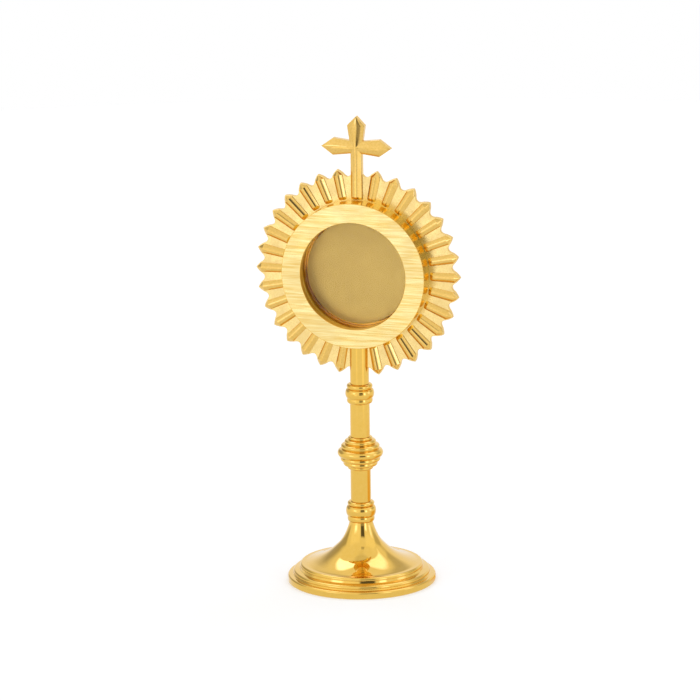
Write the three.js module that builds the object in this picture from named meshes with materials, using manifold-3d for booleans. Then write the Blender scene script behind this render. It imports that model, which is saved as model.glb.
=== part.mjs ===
// Reliquary monstrance: a round glazed relic case ringed by a sunburst, on a turned stem and a stepped foot.
// Units are millimetres. +Z is up, the glazed front faces -Y, and the origin is the middle of the underside.
import * as THREE from "three";
import { ConvexGeometry } from "three/addons/geometries/ConvexGeometry.js";
import { mergeVertices } from "three/addons/utils/BufferGeometryUtils.js";
import Module from "manifold-3d";

const wasm = await Module();
wasm.setup();

// Driving dimensions
const HEIGHT = 200;
const CASE_Z = 133.35;
const CROSS_Z = 186.85;
const GAP = 0.3;
const ROUND_LARGE = 48;
const ROUND_FOOT = 40;
const ROUND_MEDIUM = 28;
const ROUND_SMALL = 16;

// Foot and stem, as heights above the table and radii
const FOOT_RADIUS = 31.2;
const FOOT_TOP = 25.6;
const FOOT_WEB_Z = 16;
const FOOT_NECK_RADIUS = 4.95;
const LOWER_COLLAR_TOP = 34.4;
const KNOP_BOTTOM = 48.4;
const KNOP_TOP = 62.5;
const UPPER_COLLAR_BOTTOM = 77;
const UPPER_COLLAR_TOP = 85.5;
const LOWER_TUBE_RADIUS = 4.28;
const UPPER_TUBE_RADIUS = 4.15;
const TUBE_BORE_RADIUS = 3.2;
const POST_RADIUS = 3.97;

// Tie rod that clamps the foot, collars, tubes and knop together
const ROD_RADIUS = 2;
const ROD_BORE_RADIUS = ROD_RADIUS + GAP;
const ROD_BOTTOM = 11;
const ROD_TOP = 87.6;
const WASHER_RADIUS = 4.5;
const WASHER_THICKNESS = 0.8;
const NUT_ACROSS_CORNERS = 8.08;
const NUT_HEIGHT = 3.2;

// Case, as radii and as depths along Y, where less is nearer the front
const CASE_RADIUS = 31;
const WALL_THICKNESS = 1.2;
const WINDOW_RADIUS = 22.8;
const CHAMBER_RADIUS = 23.4;
const SLEEVE_THICKNESS = 1;
const GLASS_RADIUS = 25.4;
const REAR_RING_RADIUS = 33.5;
const PLATE_RADIUS = 22.4;
const DOOR_RADIUS = 27.5;
const DOOR_CHAMFER = 0.3;
const FACE_Y = -8.6;
const FACE_BACK_Y = FACE_Y + WALL_THICKNESS;
const BEZEL_LIP_Y = -5.3;
const GLASS_BACK_Y = -3.9;
const SEAL_BACK_Y = -3.3;
const PLATE_FRONT_Y = 0.9;
const CASE_BACK_Y = 1.1;
const REAR_RING_BACK_Y = 2.3;
const DOOR_FRONT_Y = REAR_RING_BACK_Y + GAP;
const DOOR_BACK_Y = DOOR_FRONT_Y + WALL_THICKNESS;

// Sunburst rays, as distances from the case's middle
const RAY_COUNT = 32;
const CROSS_RAY = RAY_COUNT / 4;
const STEM_RAY = (RAY_COUNT * 3) / 4;
const RAY_ROOT = CASE_RADIUS + GAP;
const RAY_SHOULDER = 42.3;
const RAY_TIP = 44.38;
const RAY_VALLEY = 41.2;
const RAY_ROOT_HALF = 1.7;
const RAY_SHOULDER_HALF = 2.15;
const VALLEY_Y = -0.7;
const RIDGE_Y = -2.4;

// Cross, as distances from its crossing
const CROSS_EDGE_Y = -1.2;
const CROSS_RIDGE_Y = -2.9;
const CROSS_WAIST_HALF = 2.4;
const CROSS_TOP_TAPER = 3.9;
const CROSS_TOP_HALF = 3.8;
const CROSS_SIDE_TIP = 15.04;
const CROSS_SIDE_TAPER = 5;
const CROSS_SIDE_HALF = 3.6;

// Door furniture
const HINGE_X = 29.3;
const HINGE_Y = 4.1;
const KNUCKLE_RADIUS = 1.5;
const PIN_RADIUS = 0.7;
const KNUCKLE_LENGTH = 4;
const KNUCKLE_STEP = KNUCKLE_LENGTH + GAP;
const HINGE_HALF_LENGTH = KNUCKLE_STEP + KNUCKLE_LENGTH / 2;
const LEAF_THICKNESS = 0.8;
const BUTTON_X = -30.2;
const BUTTON_RADIUS = 1.3;
const BUTTON_BOSS_RADIUS = 1.9;
const BUTTON_SHANK_RADIUS = 0.85;
const BUTTON_THICKNESS = 1;
const BUTTON_REACH = 5.5;
const BUTTON_TAIL = 1.6;
const PULL_X = -19.5;

const polishedGold = { color: 0xe8b44c, roughness: 0.16, metalness: 1 };
const brushedGold = { color: 0xf3d483, roughness: 0.38, metalness: 1 };
const satinGold = { color: 0xc59a55, roughness: 0.5, metalness: 1 };
const plainBrass = { color: 0xb5903f, roughness: 0.4, metalness: 1 };
const steel = { color: 0xb9bbbd, roughness: 0.35, metalness: 1 };
const clearGlass = { color: 0xf4f6f2, roughness: 0.05, metalness: 0, transparent: true, opacity: 0.35 };
const darkSeal = { color: 0x2b241c, roughness: 0.8, metalness: 0 };

const monstrance = new THREE.Group();
const relicCase = new THREE.Group();
relicCase.position.z = CASE_Z;
monstrance.add(relicCase);

// Adds one named piece to a group.
function addPiece(group, name, geometry, finish) {
  const mesh = new THREE.Mesh(geometry, new THREE.MeshStandardMaterial(finish));
  mesh.name = name;
  group.add(mesh);
}

// Turns a closed geometry into a solid that can be joined and cut.
function solid(geometry) {
  const bare = geometry.clone();
  bare.deleteAttribute("normal");
  bare.deleteAttribute("uv");
  const merged = mergeVertices(bare, 1e-4);
  return new wasm.Manifold(new wasm.Mesh({
    numProp: 3,
    vertProperties: new Float32Array(merged.attributes.position.array),
    triVerts: new Uint32Array(merged.index.array),
  }));
}

// Turns a solid back into a geometry.
function geometryOf(body) {
  const mesh = body.getMesh();
  const geometry = new THREE.BufferGeometry();
  geometry.setAttribute("position", new THREE.BufferAttribute(mesh.vertProperties, 3));
  geometry.setIndex(new THREE.BufferAttribute(mesh.triVerts, 1));
  geometry.computeVertexNormals();
  return geometry;
}

// Revolves an outline of [radius, height] points about Y. It is closed unless both its ends are on the axis.
function revolved(outline, segments) {
  const points = outline.map(([radius, height]) => new THREE.Vector2(radius, height));
  const onAxis = points[0].x === 0 && points.at(-1).x === 0;
  if (!onAxis) {
    points.push(points[0].clone());
  }
  return new THREE.LatheGeometry(points, segments);
}

// Revolves an outline about the vertical axis of the stem.
function turned(outline, segments = ROUND_MEDIUM) {
  return revolved(outline, segments).rotateX(Math.PI / 2);
}

// Outline of a turned piece with a straight bore, from its outside read upwards.
function bored(outside, boreRadius) {
  const bottom = outside[0][1];
  const top = outside.at(-1)[1];
  return [...outside, [boreRadius, top], [boreRadius, bottom]];
}

// Outline of a plain tube between two heights.
function tube(radius, boreRadius, low, high) {
  return bored([[radius, low], [radius, high]], boreRadius);
}

// Half-round bead above the last point of an outline: it swells to its crest and draws in to the upper waist.
function addBead(outline, top, crest, upperWaist, steps = 4) {
  const [lowerWaist, bottom] = outline.at(-1);
  for (let step = 1; step <= steps; step += 1) {
    const share = step / steps;
    const angle = Math.PI * share;
    const waist = lowerWaist + (upperWaist - lowerWaist) * share;
    const height = (bottom + top) / 2 - (Math.cos(angle) * (top - bottom)) / 2;
    outline.push([waist + (crest - waist) * Math.sin(angle), height]);
  }
  return outline;
}

// Points on a round edge in the outline's plane, between two angles in degrees.
function roundEdge(radius, height, edge, fromAngle, toAngle, steps = 3) {
  const points = [];
  for (let step = 0; step <= steps; step += 1) {
    const angle = THREE.MathUtils.degToRad(fromAngle + ((toAngle - fromAngle) * step) / steps);
    points.push([radius + edge * Math.cos(angle), height + edge * Math.sin(angle)]);
  }
  return points;
}

// Cylinder along Z or Y between two levels.
function rod(radius, low, high, axis, segments = ROUND_SMALL) {
  const geometry = new THREE.CylinderGeometry(radius, radius, high - low, segments);
  geometry.translate(0, (low + high) / 2, 0);
  return axis === "z" ? geometry.rotateX(Math.PI / 2) : geometry;
}

// Box between two corners.
function block(low, high) {
  const size = high.map((value, axis) => value - low[axis]);
  const centre = high.map((value, axis) => (value + low[axis]) / 2);
  return new THREE.BoxGeometry(...size).translate(...centre);
}

// Flat outline given a thickness along Y, with its back at a depth.
function slab(shape, thickness, backY, curveSegments) {
  return new THREE.ExtrudeGeometry(shape, { depth: thickness, bevelEnabled: false, curveSegments })
    .rotateX(Math.PI / 2)
    .translate(0, backY, 0);
}

// Foot: a hollow casting with rounded steps, a trumpet flare and a web that takes the rod
function footOutline() {
  const steps = [
    [FOOT_RADIUS, 0],
    [FOOT_RADIUS, 1.9],
    ...roundEdge(30.4, 2, 0.8, 20, 90, 2),
    [29.1, 2.85],
    ...roundEdge(27.9, 3.85, 1, -30, 90),
    [26.2, 5.15],
    ...roundEdge(25, 6.5, 0.95, -30, 90),
    [23.9, 7.4],
  ];
  const flare = [
    [23.2, 7.6], [20, 8.7], [17.2, 10], [14.8, 11.4], [12.7, 13], [10.8, 14.7], [9.1, 16.2],
    [7.75, 17.9], [6.75, 19.8], [5.85, 21.9], [5.2, 24], [FOOT_NECK_RADIUS, FOOT_TOP],
  ];
  const hollow = [
    [ROD_BORE_RADIUS, FOOT_TOP], [ROD_BORE_RADIUS, FOOT_WEB_Z], [6.4, FOOT_WEB_Z], [9.2, 13.2],
    [13, 10.2], [18, 7.4], [25, 4.2], [28.6, 0],
  ];
  return [...steps, ...flare, ...hollow];
}

// Hexagon nut with a clear bore, between two heights
function hexNut(low, high) {
  const corner = NUT_ACROSS_CORNERS / 2;
  const body = rod(corner, low, high, "z", 6);
  const bore = rod(ROD_BORE_RADIUS, low - 1, high + 1, "z");
  return geometryOf(solid(body).subtract(solid(bore)));
}

function lowerCollarOutline() {
  const outline = [[FOOT_NECK_RADIUS, FOOT_TOP]];
  addBead(outline, 28, 5.7, 5.55);
  addBead(outline, 32.5, 6.35, 5.1, 5);
  addBead(outline, LOWER_COLLAR_TOP, 5.65, LOWER_TUBE_RADIUS);
  return bored(outline, ROD_BORE_RADIUS);
}

function knopOutline() {
  const outline = [[LOWER_TUBE_RADIUS, KNOP_BOTTOM]];
  addBead(outline, 49.9, 5.4, 5.5);
  addBead(outline, 51.9, 7.25, 7.2);
  addBead(outline, 53.8, 8.4, 8.1);
  addBead(outline, 57.3, 9.62, 7.9, 5);
  addBead(outline, 59.4, 8.15, 6.5);
  addBead(outline, 61.3, 6.65, 4.9);
  addBead(outline, KNOP_TOP, 5.15, UPPER_TUBE_RADIUS);
  return bored(outline, ROD_BORE_RADIUS);
}

function upperCollarOutline() {
  const outline = [[UPPER_TUBE_RADIUS, UPPER_COLLAR_BOTTOM]];
  addBead(outline, 79.4, 5.45, 5.35);
  addBead(outline, 83.3, 6.08, 5.05, 5);
  addBead(outline, UPPER_COLLAR_TOP, 5.45, POST_RADIUS);
  return bored(outline, ROD_BORE_RADIUS);
}

// Neck post: a round post forked over the sunburst's plate, hollowed to the drum and drilled for the rod
function neckPost() {
  const saddleDepth = 1;
  const clear = 1;
  const reach = POST_RADIUS + clear;
  const forkBottom = CASE_Z - RAY_TIP - GAP;
  const postTop = CASE_Z - CASE_RADIUS + saddleDepth;
  const cuts = [
    block([-reach, VALLEY_Y - GAP, forkBottom], [reach, CASE_BACK_Y + GAP, postTop + clear]),
    rod(CASE_RADIUS + GAP, FACE_Y, CASE_BACK_Y, "y", ROUND_LARGE).translate(0, 0, CASE_Z),
    rod(REAR_RING_RADIUS + GAP, CASE_BACK_Y, reach, "y", ROUND_LARGE).translate(0, 0, CASE_Z),
    rod(ROD_BORE_RADIUS, UPPER_COLLAR_TOP - clear, ROD_TOP + GAP, "z"),
  ];
  const post = solid(rod(POST_RADIUS, UPPER_COLLAR_TOP, postTop, "z", ROUND_MEDIUM));
  return geometryOf(cuts.reduce((body, cut) => body.subtract(solid(cut)), post));
}

// Place of a point of the sunburst: distance out along a ray, sideways offset from its middle, and depth
function onRay(ray, out, sideways, depth) {
  const angle = (ray * 2 * Math.PI) / RAY_COUNT;
  const x = out * Math.cos(angle) - sideways * Math.sin(angle);
  const z = out * Math.sin(angle) + sideways * Math.cos(angle);
  return new THREE.Vector3(x, depth, z);
}

// Flat plate behind the rays: pointed tips joined by hollow scallops, with a hole for the drum
function rayPlate() {
  const scallopSteps = 4;
  const corner = (ray, out, sideways) => {
    const place = onRay(ray, out, sideways, 0);
    return new THREE.Vector2(place.x, place.z);
  };
  const outline = [];
  for (let ray = 0; ray < RAY_COUNT; ray += 1) {
    const shoulder = corner(ray, RAY_SHOULDER, RAY_SHOULDER_HALF);
    const next = corner(ray + 1, RAY_SHOULDER, -RAY_SHOULDER_HALF);
    outline.push(corner(ray, RAY_SHOULDER, -RAY_SHOULDER_HALF), corner(ray, RAY_TIP, 0), shoulder);
    for (let step = 1; step < scallopSteps; step += 1) {
      const point = shoulder.clone().lerp(next, step / scallopSteps);
      const depth = (shoulder.length() - RAY_VALLEY) * Math.sin((Math.PI * step) / scallopSteps);
      outline.push(point.setLength(shoulder.length() - depth));
    }
  }
  const shape = new THREE.Shape(outline);
  shape.holes.push(new THREE.Path().absarc(0, 0, RAY_ROOT, 0, 2 * Math.PI));
  return slab(shape, CASE_BACK_Y - VALLEY_Y, CASE_BACK_Y, ROUND_LARGE);
}

// Roof-shaped bar of one ray, hipped at its root and drawn to a point at its tip
function rayRoof(ray) {
  const inset = 0.05;
  const bedY = VALLEY_Y + 0.5;
  const eavesY = VALLEY_Y - 0.1;
  const rootHip = 1.5;
  const tipHip = 0.3;
  const ridgeFall = 0.25;
  const footprint = [
    [RAY_ROOT, -RAY_ROOT_HALF],
    [RAY_ROOT, RAY_ROOT_HALF],
    [RAY_SHOULDER, RAY_SHOULDER_HALF - inset],
    [RAY_TIP - inset, 0],
    [RAY_SHOULDER, inset - RAY_SHOULDER_HALF],
  ];
  const level = (depth) => footprint.map(([out, sideways]) => onRay(ray, out, sideways, depth));
  const ridge = [
    onRay(ray, RAY_ROOT + rootHip, 0, RIDGE_Y + ridgeFall),
    onRay(ray, RAY_SHOULDER - tipHip, 0, RIDGE_Y),
  ];
  return new ConvexGeometry([...level(bedY), ...level(eavesY), ...ridge]);
}

// One arm of the cross, with a ridge along it and a pointed end, from the crossing outwards
function crossArm(direction, tip, taper, shoulderHalf) {
  const tipHip = 0.4;
  const shoulder = tip - taper;
  const across = new THREE.Vector3(-direction.z, 0, direction.x);
  const place = (out, sideways, depth) => new THREE.Vector3(0, depth, CROSS_Z - CASE_Z)
    .addScaledVector(direction, out)
    .addScaledVector(across, sideways);
  const outline = [
    [0, -CROSS_WAIST_HALF],
    [0, CROSS_WAIST_HALF],
    [shoulder, shoulderHalf],
    [tip, 0],
    [shoulder, -shoulderHalf],
  ];
  const level = (depth) => outline.map(([out, sideways]) => place(out, sideways, depth));
  const ridge = [place(0, 0, CROSS_RIDGE_Y), place(shoulder - tipHip, 0, CROSS_RIDGE_Y)];
  return new ConvexGeometry([...level(CASE_BACK_Y), ...level(CROSS_EDGE_Y), ...ridge]);
}

// Shaft from the drum up to the crossing
function crossShaft() {
  const section = [
    [-CROSS_WAIST_HALF, CASE_BACK_Y],
    [CROSS_WAIST_HALF, CASE_BACK_Y],
    [CROSS_WAIST_HALF, CROSS_EDGE_Y],
    [0, CROSS_RIDGE_Y],
    [-CROSS_WAIST_HALF, CROSS_EDGE_Y],
  ];
  const level = (height) => section.map(([x, y]) => new THREE.Vector3(x, y, height));
  return new ConvexGeometry([...level(RAY_ROOT), ...level(CROSS_Z - CASE_Z)]);
}

function sunburst() {
  const up = new THREE.Vector3(0, 0, 1);
  const right = new THREE.Vector3(1, 0, 0);
  const left = new THREE.Vector3(-1, 0, 0);
  const parts = [
    crossShaft(),
    crossArm(up, HEIGHT - CROSS_Z, CROSS_TOP_TAPER, CROSS_TOP_HALF),
    crossArm(right, CROSS_SIDE_TIP, CROSS_SIDE_TAPER, CROSS_SIDE_HALF),
    crossArm(left, CROSS_SIDE_TIP, CROSS_SIDE_TAPER, CROSS_SIDE_HALF),
  ];
  for (let ray = 0; ray < RAY_COUNT; ray += 1) {
    if (ray !== CROSS_RAY && ray !== STEM_RAY) {
      parts.push(rayRoof(ray));
    }
  }
  return geometryOf(parts.reduce((body, part) => body.add(solid(part)), solid(rayPlate())));
}

// Ring about the case's axis, with a plain rectangular section
function caseRing(innerRadius, outerRadius, frontY, backY) {
  const outline = tube(outerRadius, innerRadius, frontY, backY);
  return revolved(outline, ROUND_LARGE);
}

// Disc about the case's axis
function caseDisc(radius, frontY, backY, chamfer = 0) {
  const edge = [[radius, frontY], [radius, backY - chamfer]];
  if (chamfer > 0) {
    edge.push([radius - chamfer, backY]);
  }
  return revolved([[0, frontY], ...edge, [0, backY]], ROUND_LARGE);
}

// Front of the case: a flat ring with a lip turned in to the glass
function frontBezel() {
  const lipRadius = WINDOW_RADIUS + WALL_THICKNESS;
  const outline = [
    [CASE_RADIUS, FACE_Y],
    [CASE_RADIUS, FACE_BACK_Y],
    [lipRadius, FACE_BACK_Y],
    [lipRadius, BEZEL_LIP_Y],
    [WINDOW_RADIUS, BEZEL_LIP_Y],
    [WINDOW_RADIUS, FACE_Y],
  ];
  return revolved(outline, ROUND_LARGE);
}

// Round pull on the door's back
function doorPull() {
  const baseRadius = 1.6;
  const neckRadius = 0.9;
  const headRadius = 2;
  const headEdge = 0.8;
  const crown = 0.1;
  const baseTop = DOOR_BACK_Y + 0.7;
  const neckTop = DOOR_BACK_Y + 1.3;
  const headMiddle = neckTop + headEdge;
  const outline = [
    [0, DOOR_BACK_Y],
    [baseRadius, DOOR_BACK_Y],
    [(baseRadius + neckRadius) / 2, (DOOR_BACK_Y + baseTop) / 2],
    [neckRadius, baseTop],
    [neckRadius, neckTop],
    ...roundEdge(headRadius - headEdge, headMiddle, headEdge, -60, 80, 4),
    [0, headMiddle + headEdge + crown],
  ];
  return revolved(outline, ROUND_SMALL).translate(PULL_X, 0, 0);
}

// Hinge knuckle about the pin, centred at a height from the case's middle
function knuckle(height) {
  return rod(KNUCKLE_RADIUS, height - KNUCKLE_LENGTH / 2, height + KNUCKLE_LENGTH / 2, "z")
    .translate(HINGE_X, HINGE_Y, 0);
}

// Hinge leaf: a plate joined to its knuckles and bored for the pin
function hingeLeaf(plate, knuckleHeights) {
  const reach = 2 * KNUCKLE_STEP;
  const bore = rod(PIN_RADIUS + GAP, -reach, reach, "z").translate(HINGE_X, HINGE_Y, 0);
  const joined = knuckleHeights.reduce((body, height) => body.add(solid(knuckle(height))), plate);
  return geometryOf(joined.subtract(solid(bore)));
}

// Leaf soldered to the rear ring, notched for the door's knuckle
function caseHingeLeaf() {
  const clear = 1;
  const inner = HINGE_X - 1.2;
  const outer = HINGE_X + 3.2;
  const back = REAR_RING_BACK_Y + LEAF_THICKNESS;
  const notchHalf = KNUCKLE_LENGTH / 2 + GAP;
  const notchOuter = HINGE_X + KNUCKLE_RADIUS + GAP;
  const plate = block([inner, REAR_RING_BACK_Y, -HINGE_HALF_LENGTH], [outer, back, HINGE_HALF_LENGTH]);
  const notchLow = [inner - clear, REAR_RING_BACK_Y - clear, -notchHalf];
  const notch = block(notchLow, [notchOuter, HINGE_Y, notchHalf]);
  return hingeLeaf(solid(plate).subtract(solid(notch)), [-KNUCKLE_STEP, KNUCKLE_STEP]);
}

// Leaf soldered to the door, narrowed where it passes between the case's knuckles
function doorHingeLeaf() {
  const inner = HINGE_X - 7.8;
  const outer = HINGE_X - 2.3;
  const tongueInner = outer - 0.7;
  const tongueHalf = KNUCKLE_LENGTH / 2;
  const back = DOOR_BACK_Y + LEAF_THICKNESS;
  const plate = block([inner, DOOR_BACK_Y, -HINGE_HALF_LENGTH], [outer, back, HINGE_HALF_LENGTH]);
  const tongue = block([tongueInner, DOOR_BACK_Y, -tongueHalf], [HINGE_X, back, tongueHalf]);
  return hingeLeaf(solid(plate).add(solid(tongue)), [0]);
}

// Headed hinge pin
function hingePin() {
  const end = HINGE_HALF_LENGTH + 0.4;
  const headRadius = 1.3;
  const headBottom = HINGE_HALF_LENGTH + 0.2;
  const headRim = headBottom + 0.5;
  const headTop = headBottom + 0.9;
  const outline = [
    [0, -end],
    [PIN_RADIUS, -end],
    [PIN_RADIUS, headBottom],
    [headRadius, headBottom],
    [headRadius, headRim],
    [headRadius - 0.5, headTop],
    [0, headTop],
  ];
  return turned(outline, ROUND_SMALL).translate(HINGE_X, HINGE_Y, 0);
}

// Turn button: a short bar on a boss, pointing up when the door is free
function turnButton() {
  const barY = DOOR_BACK_Y + GAP;
  const barBackY = barY + BUTTON_THICKNESS;
  const bar = new THREE.Shape();
  bar.moveTo(BUTTON_RADIUS, -BUTTON_TAIL);
  bar.lineTo(BUTTON_RADIUS, BUTTON_REACH - BUTTON_RADIUS);
  bar.absarc(0, BUTTON_REACH - BUTTON_RADIUS, BUTTON_RADIUS, 0, Math.PI);
  bar.lineTo(-BUTTON_RADIUS, -BUTTON_TAIL);
  bar.absarc(0, -BUTTON_TAIL, BUTTON_RADIUS, Math.PI, 2 * Math.PI);
  const plate = slab(bar, BUTTON_THICKNESS, barBackY, ROUND_SMALL / 2);
  const boss = rod(BUTTON_BOSS_RADIUS, REAR_RING_BACK_Y + GAP, barY + BUTTON_THICKNESS / 2, "y");
  const bore = rod(BUTTON_SHANK_RADIUS + GAP, REAR_RING_BACK_Y, barBackY + BUTTON_THICKNESS, "y");
  return geometryOf(solid(plate).add(solid(boss)).subtract(solid(bore))).translate(BUTTON_X, 0, 0);
}

// Screw that the turn button swings on
function buttonScrew() {
  const headRadius = 1.7;
  const headY = DOOR_BACK_Y + GAP + BUTTON_THICKNESS + GAP;
  const outline = [
    [0, REAR_RING_BACK_Y],
    [BUTTON_SHANK_RADIUS, REAR_RING_BACK_Y],
    [BUTTON_SHANK_RADIUS, headY],
    [headRadius, headY],
    [headRadius, headY + 0.4],
    [headRadius - 0.6, headY + 0.9],
    [0, headY + 1],
  ];
  return revolved(outline, ROUND_SMALL).translate(BUTTON_X, 0, 0);
}

// Foot and stem, from the table up
const washerZ = FOOT_WEB_Z - WASHER_THICKNESS;
const washer = tube(WASHER_RADIUS, ROD_BORE_RADIUS, washerZ, FOOT_WEB_Z);
const lowerTube = tube(LOWER_TUBE_RADIUS, TUBE_BORE_RADIUS, LOWER_COLLAR_TOP, KNOP_BOTTOM);
const upperTube = tube(UPPER_TUBE_RADIUS, TUBE_BORE_RADIUS, KNOP_TOP, UPPER_COLLAR_BOTTOM);
addPiece(monstrance, "foot", turned(footOutline(), ROUND_FOOT), polishedGold);
addPiece(monstrance, "foot_washer", turned(washer, ROUND_SMALL), steel);
addPiece(monstrance, "foot_nut", hexNut(washerZ - NUT_HEIGHT, washerZ), plainBrass);
addPiece(monstrance, "tie_rod", rod(ROD_RADIUS, ROD_BOTTOM, ROD_TOP, "z"), steel);
addPiece(monstrance, "lower_collar", turned(lowerCollarOutline()), polishedGold);
addPiece(monstrance, "lower_tube", turned(lowerTube), polishedGold);
addPiece(monstrance, "knop", turned(knopOutline()), polishedGold);
addPiece(monstrance, "upper_tube", turned(upperTube), polishedGold);
addPiece(monstrance, "upper_collar", turned(upperCollarOutline()), polishedGold);
addPiece(monstrance, "neck_post", neckPost(), polishedGold);

// Case, from the front to the back
const wall = caseRing(CASE_RADIUS - WALL_THICKNESS, CASE_RADIUS, FACE_BACK_Y, CASE_BACK_Y);
const seal = caseRing(CHAMBER_RADIUS, GLASS_RADIUS, GLASS_BACK_Y, SEAL_BACK_Y);
const sleeve = caseRing(CHAMBER_RADIUS, CHAMBER_RADIUS + SLEEVE_THICKNESS, SEAL_BACK_Y, CASE_BACK_Y);
const rearRing = caseRing(CHAMBER_RADIUS, REAR_RING_RADIUS, CASE_BACK_Y, REAR_RING_BACK_Y);
const door = caseDisc(DOOR_RADIUS, DOOR_FRONT_Y, DOOR_BACK_Y, DOOR_CHAMFER);
addPiece(relicCase, "sunburst", sunburst(), polishedGold);
addPiece(relicCase, "drum_wall", wall, polishedGold);
addPiece(relicCase, "front_bezel", frontBezel(), brushedGold);
addPiece(relicCase, "window_glass", caseDisc(GLASS_RADIUS, BEZEL_LIP_Y, GLASS_BACK_Y), clearGlass);
addPiece(relicCase, "glass_seal", seal, darkSeal);
addPiece(relicCase, "chamber_sleeve", sleeve, satinGold);
addPiece(relicCase, "rear_ring", rearRing, polishedGold);

// Door, its hinge and its fastening
addPiece(relicCase, "case_hinge_leaf", caseHingeLeaf(), polishedGold);
addPiece(relicCase, "hinge_pin", hingePin(), plainBrass);
addPiece(relicCase, "door_hinge_leaf", doorHingeLeaf(), polishedGold);
addPiece(relicCase, "back_door", door, polishedGold);
addPiece(relicCase, "relic_plate", caseDisc(PLATE_RADIUS, PLATE_FRONT_Y, DOOR_FRONT_Y), satinGold);
addPiece(relicCase, "door_pull", doorPull(), polishedGold);
addPiece(relicCase, "turn_button", turnButton(), polishedGold);
addPiece(relicCase, "button_screw", buttonScrew(), plainBrass);

export default monstrance;
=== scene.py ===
"""Looks of a gilt brass reliquary monstrance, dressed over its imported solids.

The part's own frame is used throughout: +Z up along the stem, -Y towards the glazed front, +X to the right
of someone who faces it. Sizes are written in millimetres and become metres where a point is placed.
"""

import logging
import math
from collections.abc import Callable, Sequence
from dataclasses import dataclass, field
from enum import Enum
from functools import partial

import bmesh
import bpy
from mathutils import Matrix, Vector


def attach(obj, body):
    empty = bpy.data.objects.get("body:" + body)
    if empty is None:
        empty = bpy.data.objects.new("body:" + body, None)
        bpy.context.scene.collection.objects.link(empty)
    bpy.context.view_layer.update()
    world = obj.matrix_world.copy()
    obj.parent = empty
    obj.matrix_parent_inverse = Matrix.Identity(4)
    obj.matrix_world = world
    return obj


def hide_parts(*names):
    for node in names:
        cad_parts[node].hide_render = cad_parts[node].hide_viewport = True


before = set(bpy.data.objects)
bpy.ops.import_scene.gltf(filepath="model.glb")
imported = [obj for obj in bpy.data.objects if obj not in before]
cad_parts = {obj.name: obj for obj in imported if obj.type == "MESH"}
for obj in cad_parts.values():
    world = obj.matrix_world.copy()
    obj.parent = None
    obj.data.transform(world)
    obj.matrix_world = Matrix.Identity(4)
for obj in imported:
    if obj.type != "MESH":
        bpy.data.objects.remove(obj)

log = logging.getLogger("monstrance")

MM = 0.001
WELD = 0.002 * MM
SMOOTH_BELOW = 32.0
# Segments of a full turn: the foot and the case, the stem, and the small fittings
LARGE_TURN = 160
STEM_TURN = 96
SMALL_TURN = 48
# Gaps left between pieces that are pressed together, and between pieces that lie in a seat
PRESS_GAP = 0.02
SEAT_GAP = 0.03
# Heights of the case's middle and of the crossing of the cross
CASE_Z = 133.35
CROSS_Z = 186.85

Point = tuple[float, float]
Corner = tuple[float, float, float]
Test = Callable[[Vector, Vector], bool]
Piece = bpy.types.Object
Material = bpy.types.Material
Tree = bpy.types.NodeTree
Socket = bpy.types.NodeSocket


class Body(Enum):
    """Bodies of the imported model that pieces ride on."""

    STAND = "stand"
    DOOR = "door"
    LATCH = "latch"


class Slot(Enum):
    """Material slots of the part's record."""

    POLISHED = "polished_gold"
    BRUSHED = "brushed_gold"
    SATIN = "satin_gold"
    BRASS = "plain_brass"
    STEEL = "steel"
    GLASS = "clear_glass"
    SEAL = "dark_seal"


class Grain(Enum):
    """How the marks of a surface's making run."""

    EVEN = "even"
    ACROSS = "across"
    RINGS = "rings"


@dataclass(frozen=True)
class Axis:
    """Line that a turned piece is spun about.

    Attributes:
        centre: A point on the line, in millimetres.
        along: Direction of the line.
        out: Direction, square to the line, in which the outline is drawn.
    """

    centre: Corner
    along: Corner
    out: Corner

    def place(self, radius: float, height: float) -> Vector:
        """Gives the point at a radius from the line and a height along it.

        Args:
            radius: Distance from the line, in millimetres.
            height: Distance along the line from its centre, in millimetres.

        Returns:
            The point, in metres.
        """
        return (Vector(self.centre) + Vector(self.out) * radius + Vector(self.along) * height) * MM


STEM_AXIS = Axis((0, 0, 0), (0, 0, 1), (1, 0, 0))
CASE_AXIS = Axis((0, 0, CASE_Z), (0, 1, 0), (1, 0, 0))
PULL_AXIS = Axis((-19.5, 0, CASE_Z), (0, 1, 0), (1, 0, 0))
BUTTON_AXIS = Axis((-30.2, 0, CASE_Z), (0, 1, 0), (1, 0, 0))
PIN_AXIS = Axis((29.3, 4.1, CASE_Z), (0, 0, 1), (1, 0, 0))


# Outlines


def eased(corners: Sequence[Corner], closed: bool = True, steps: int = 4) -> list[Point]:
    """Rounds the corners of an outline.

    Args:
        corners: Radius, height and easing radius of each corner.
        closed: Whether the last corner joins the first. Open ends are never eased.
        steps: Segments of each eased corner.

    Returns:
        The outline's points.
    """
    count = len(corners)
    points: list[Point] = []
    for index, (radius, height, ease) in enumerate(corners):
        at_end = not closed and index in (0, count - 1)
        if ease <= 0 or at_end:
            points.append((radius, height))
            continue
        here = Vector((radius, height))
        back = (Vector(corners[index - 1][:2]) - here).normalized()
        ahead = (Vector(corners[(index + 1) % count][:2]) - here).normalized()
        half = back.angle(ahead) / 2
        centre = here + (back + ahead).normalized() * (ease / math.sin(half))
        first = here + back * (ease / math.tan(half)) - centre
        last = here + ahead * (ease / math.tan(half)) - centre
        turn = first.angle(last)
        for step in range(steps + 1):
            share = step / steps
            spoke = first * math.sin((1 - share) * turn) + last * math.sin(share * turn)
            point = centre + spoke / math.sin(turn)
            points.append((point.x, point.y))
    return points


def band(outer: float, bore: float, low: float, high: float, ease: float, bore_ease: float) -> list[Corner]:
    """Gives the corners of a plain ring's section, with the easing radii outside and in the bore."""
    return [(outer, low, ease), (outer, high, ease), (bore, high, bore_ease), (bore, low, bore_ease)]


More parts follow.
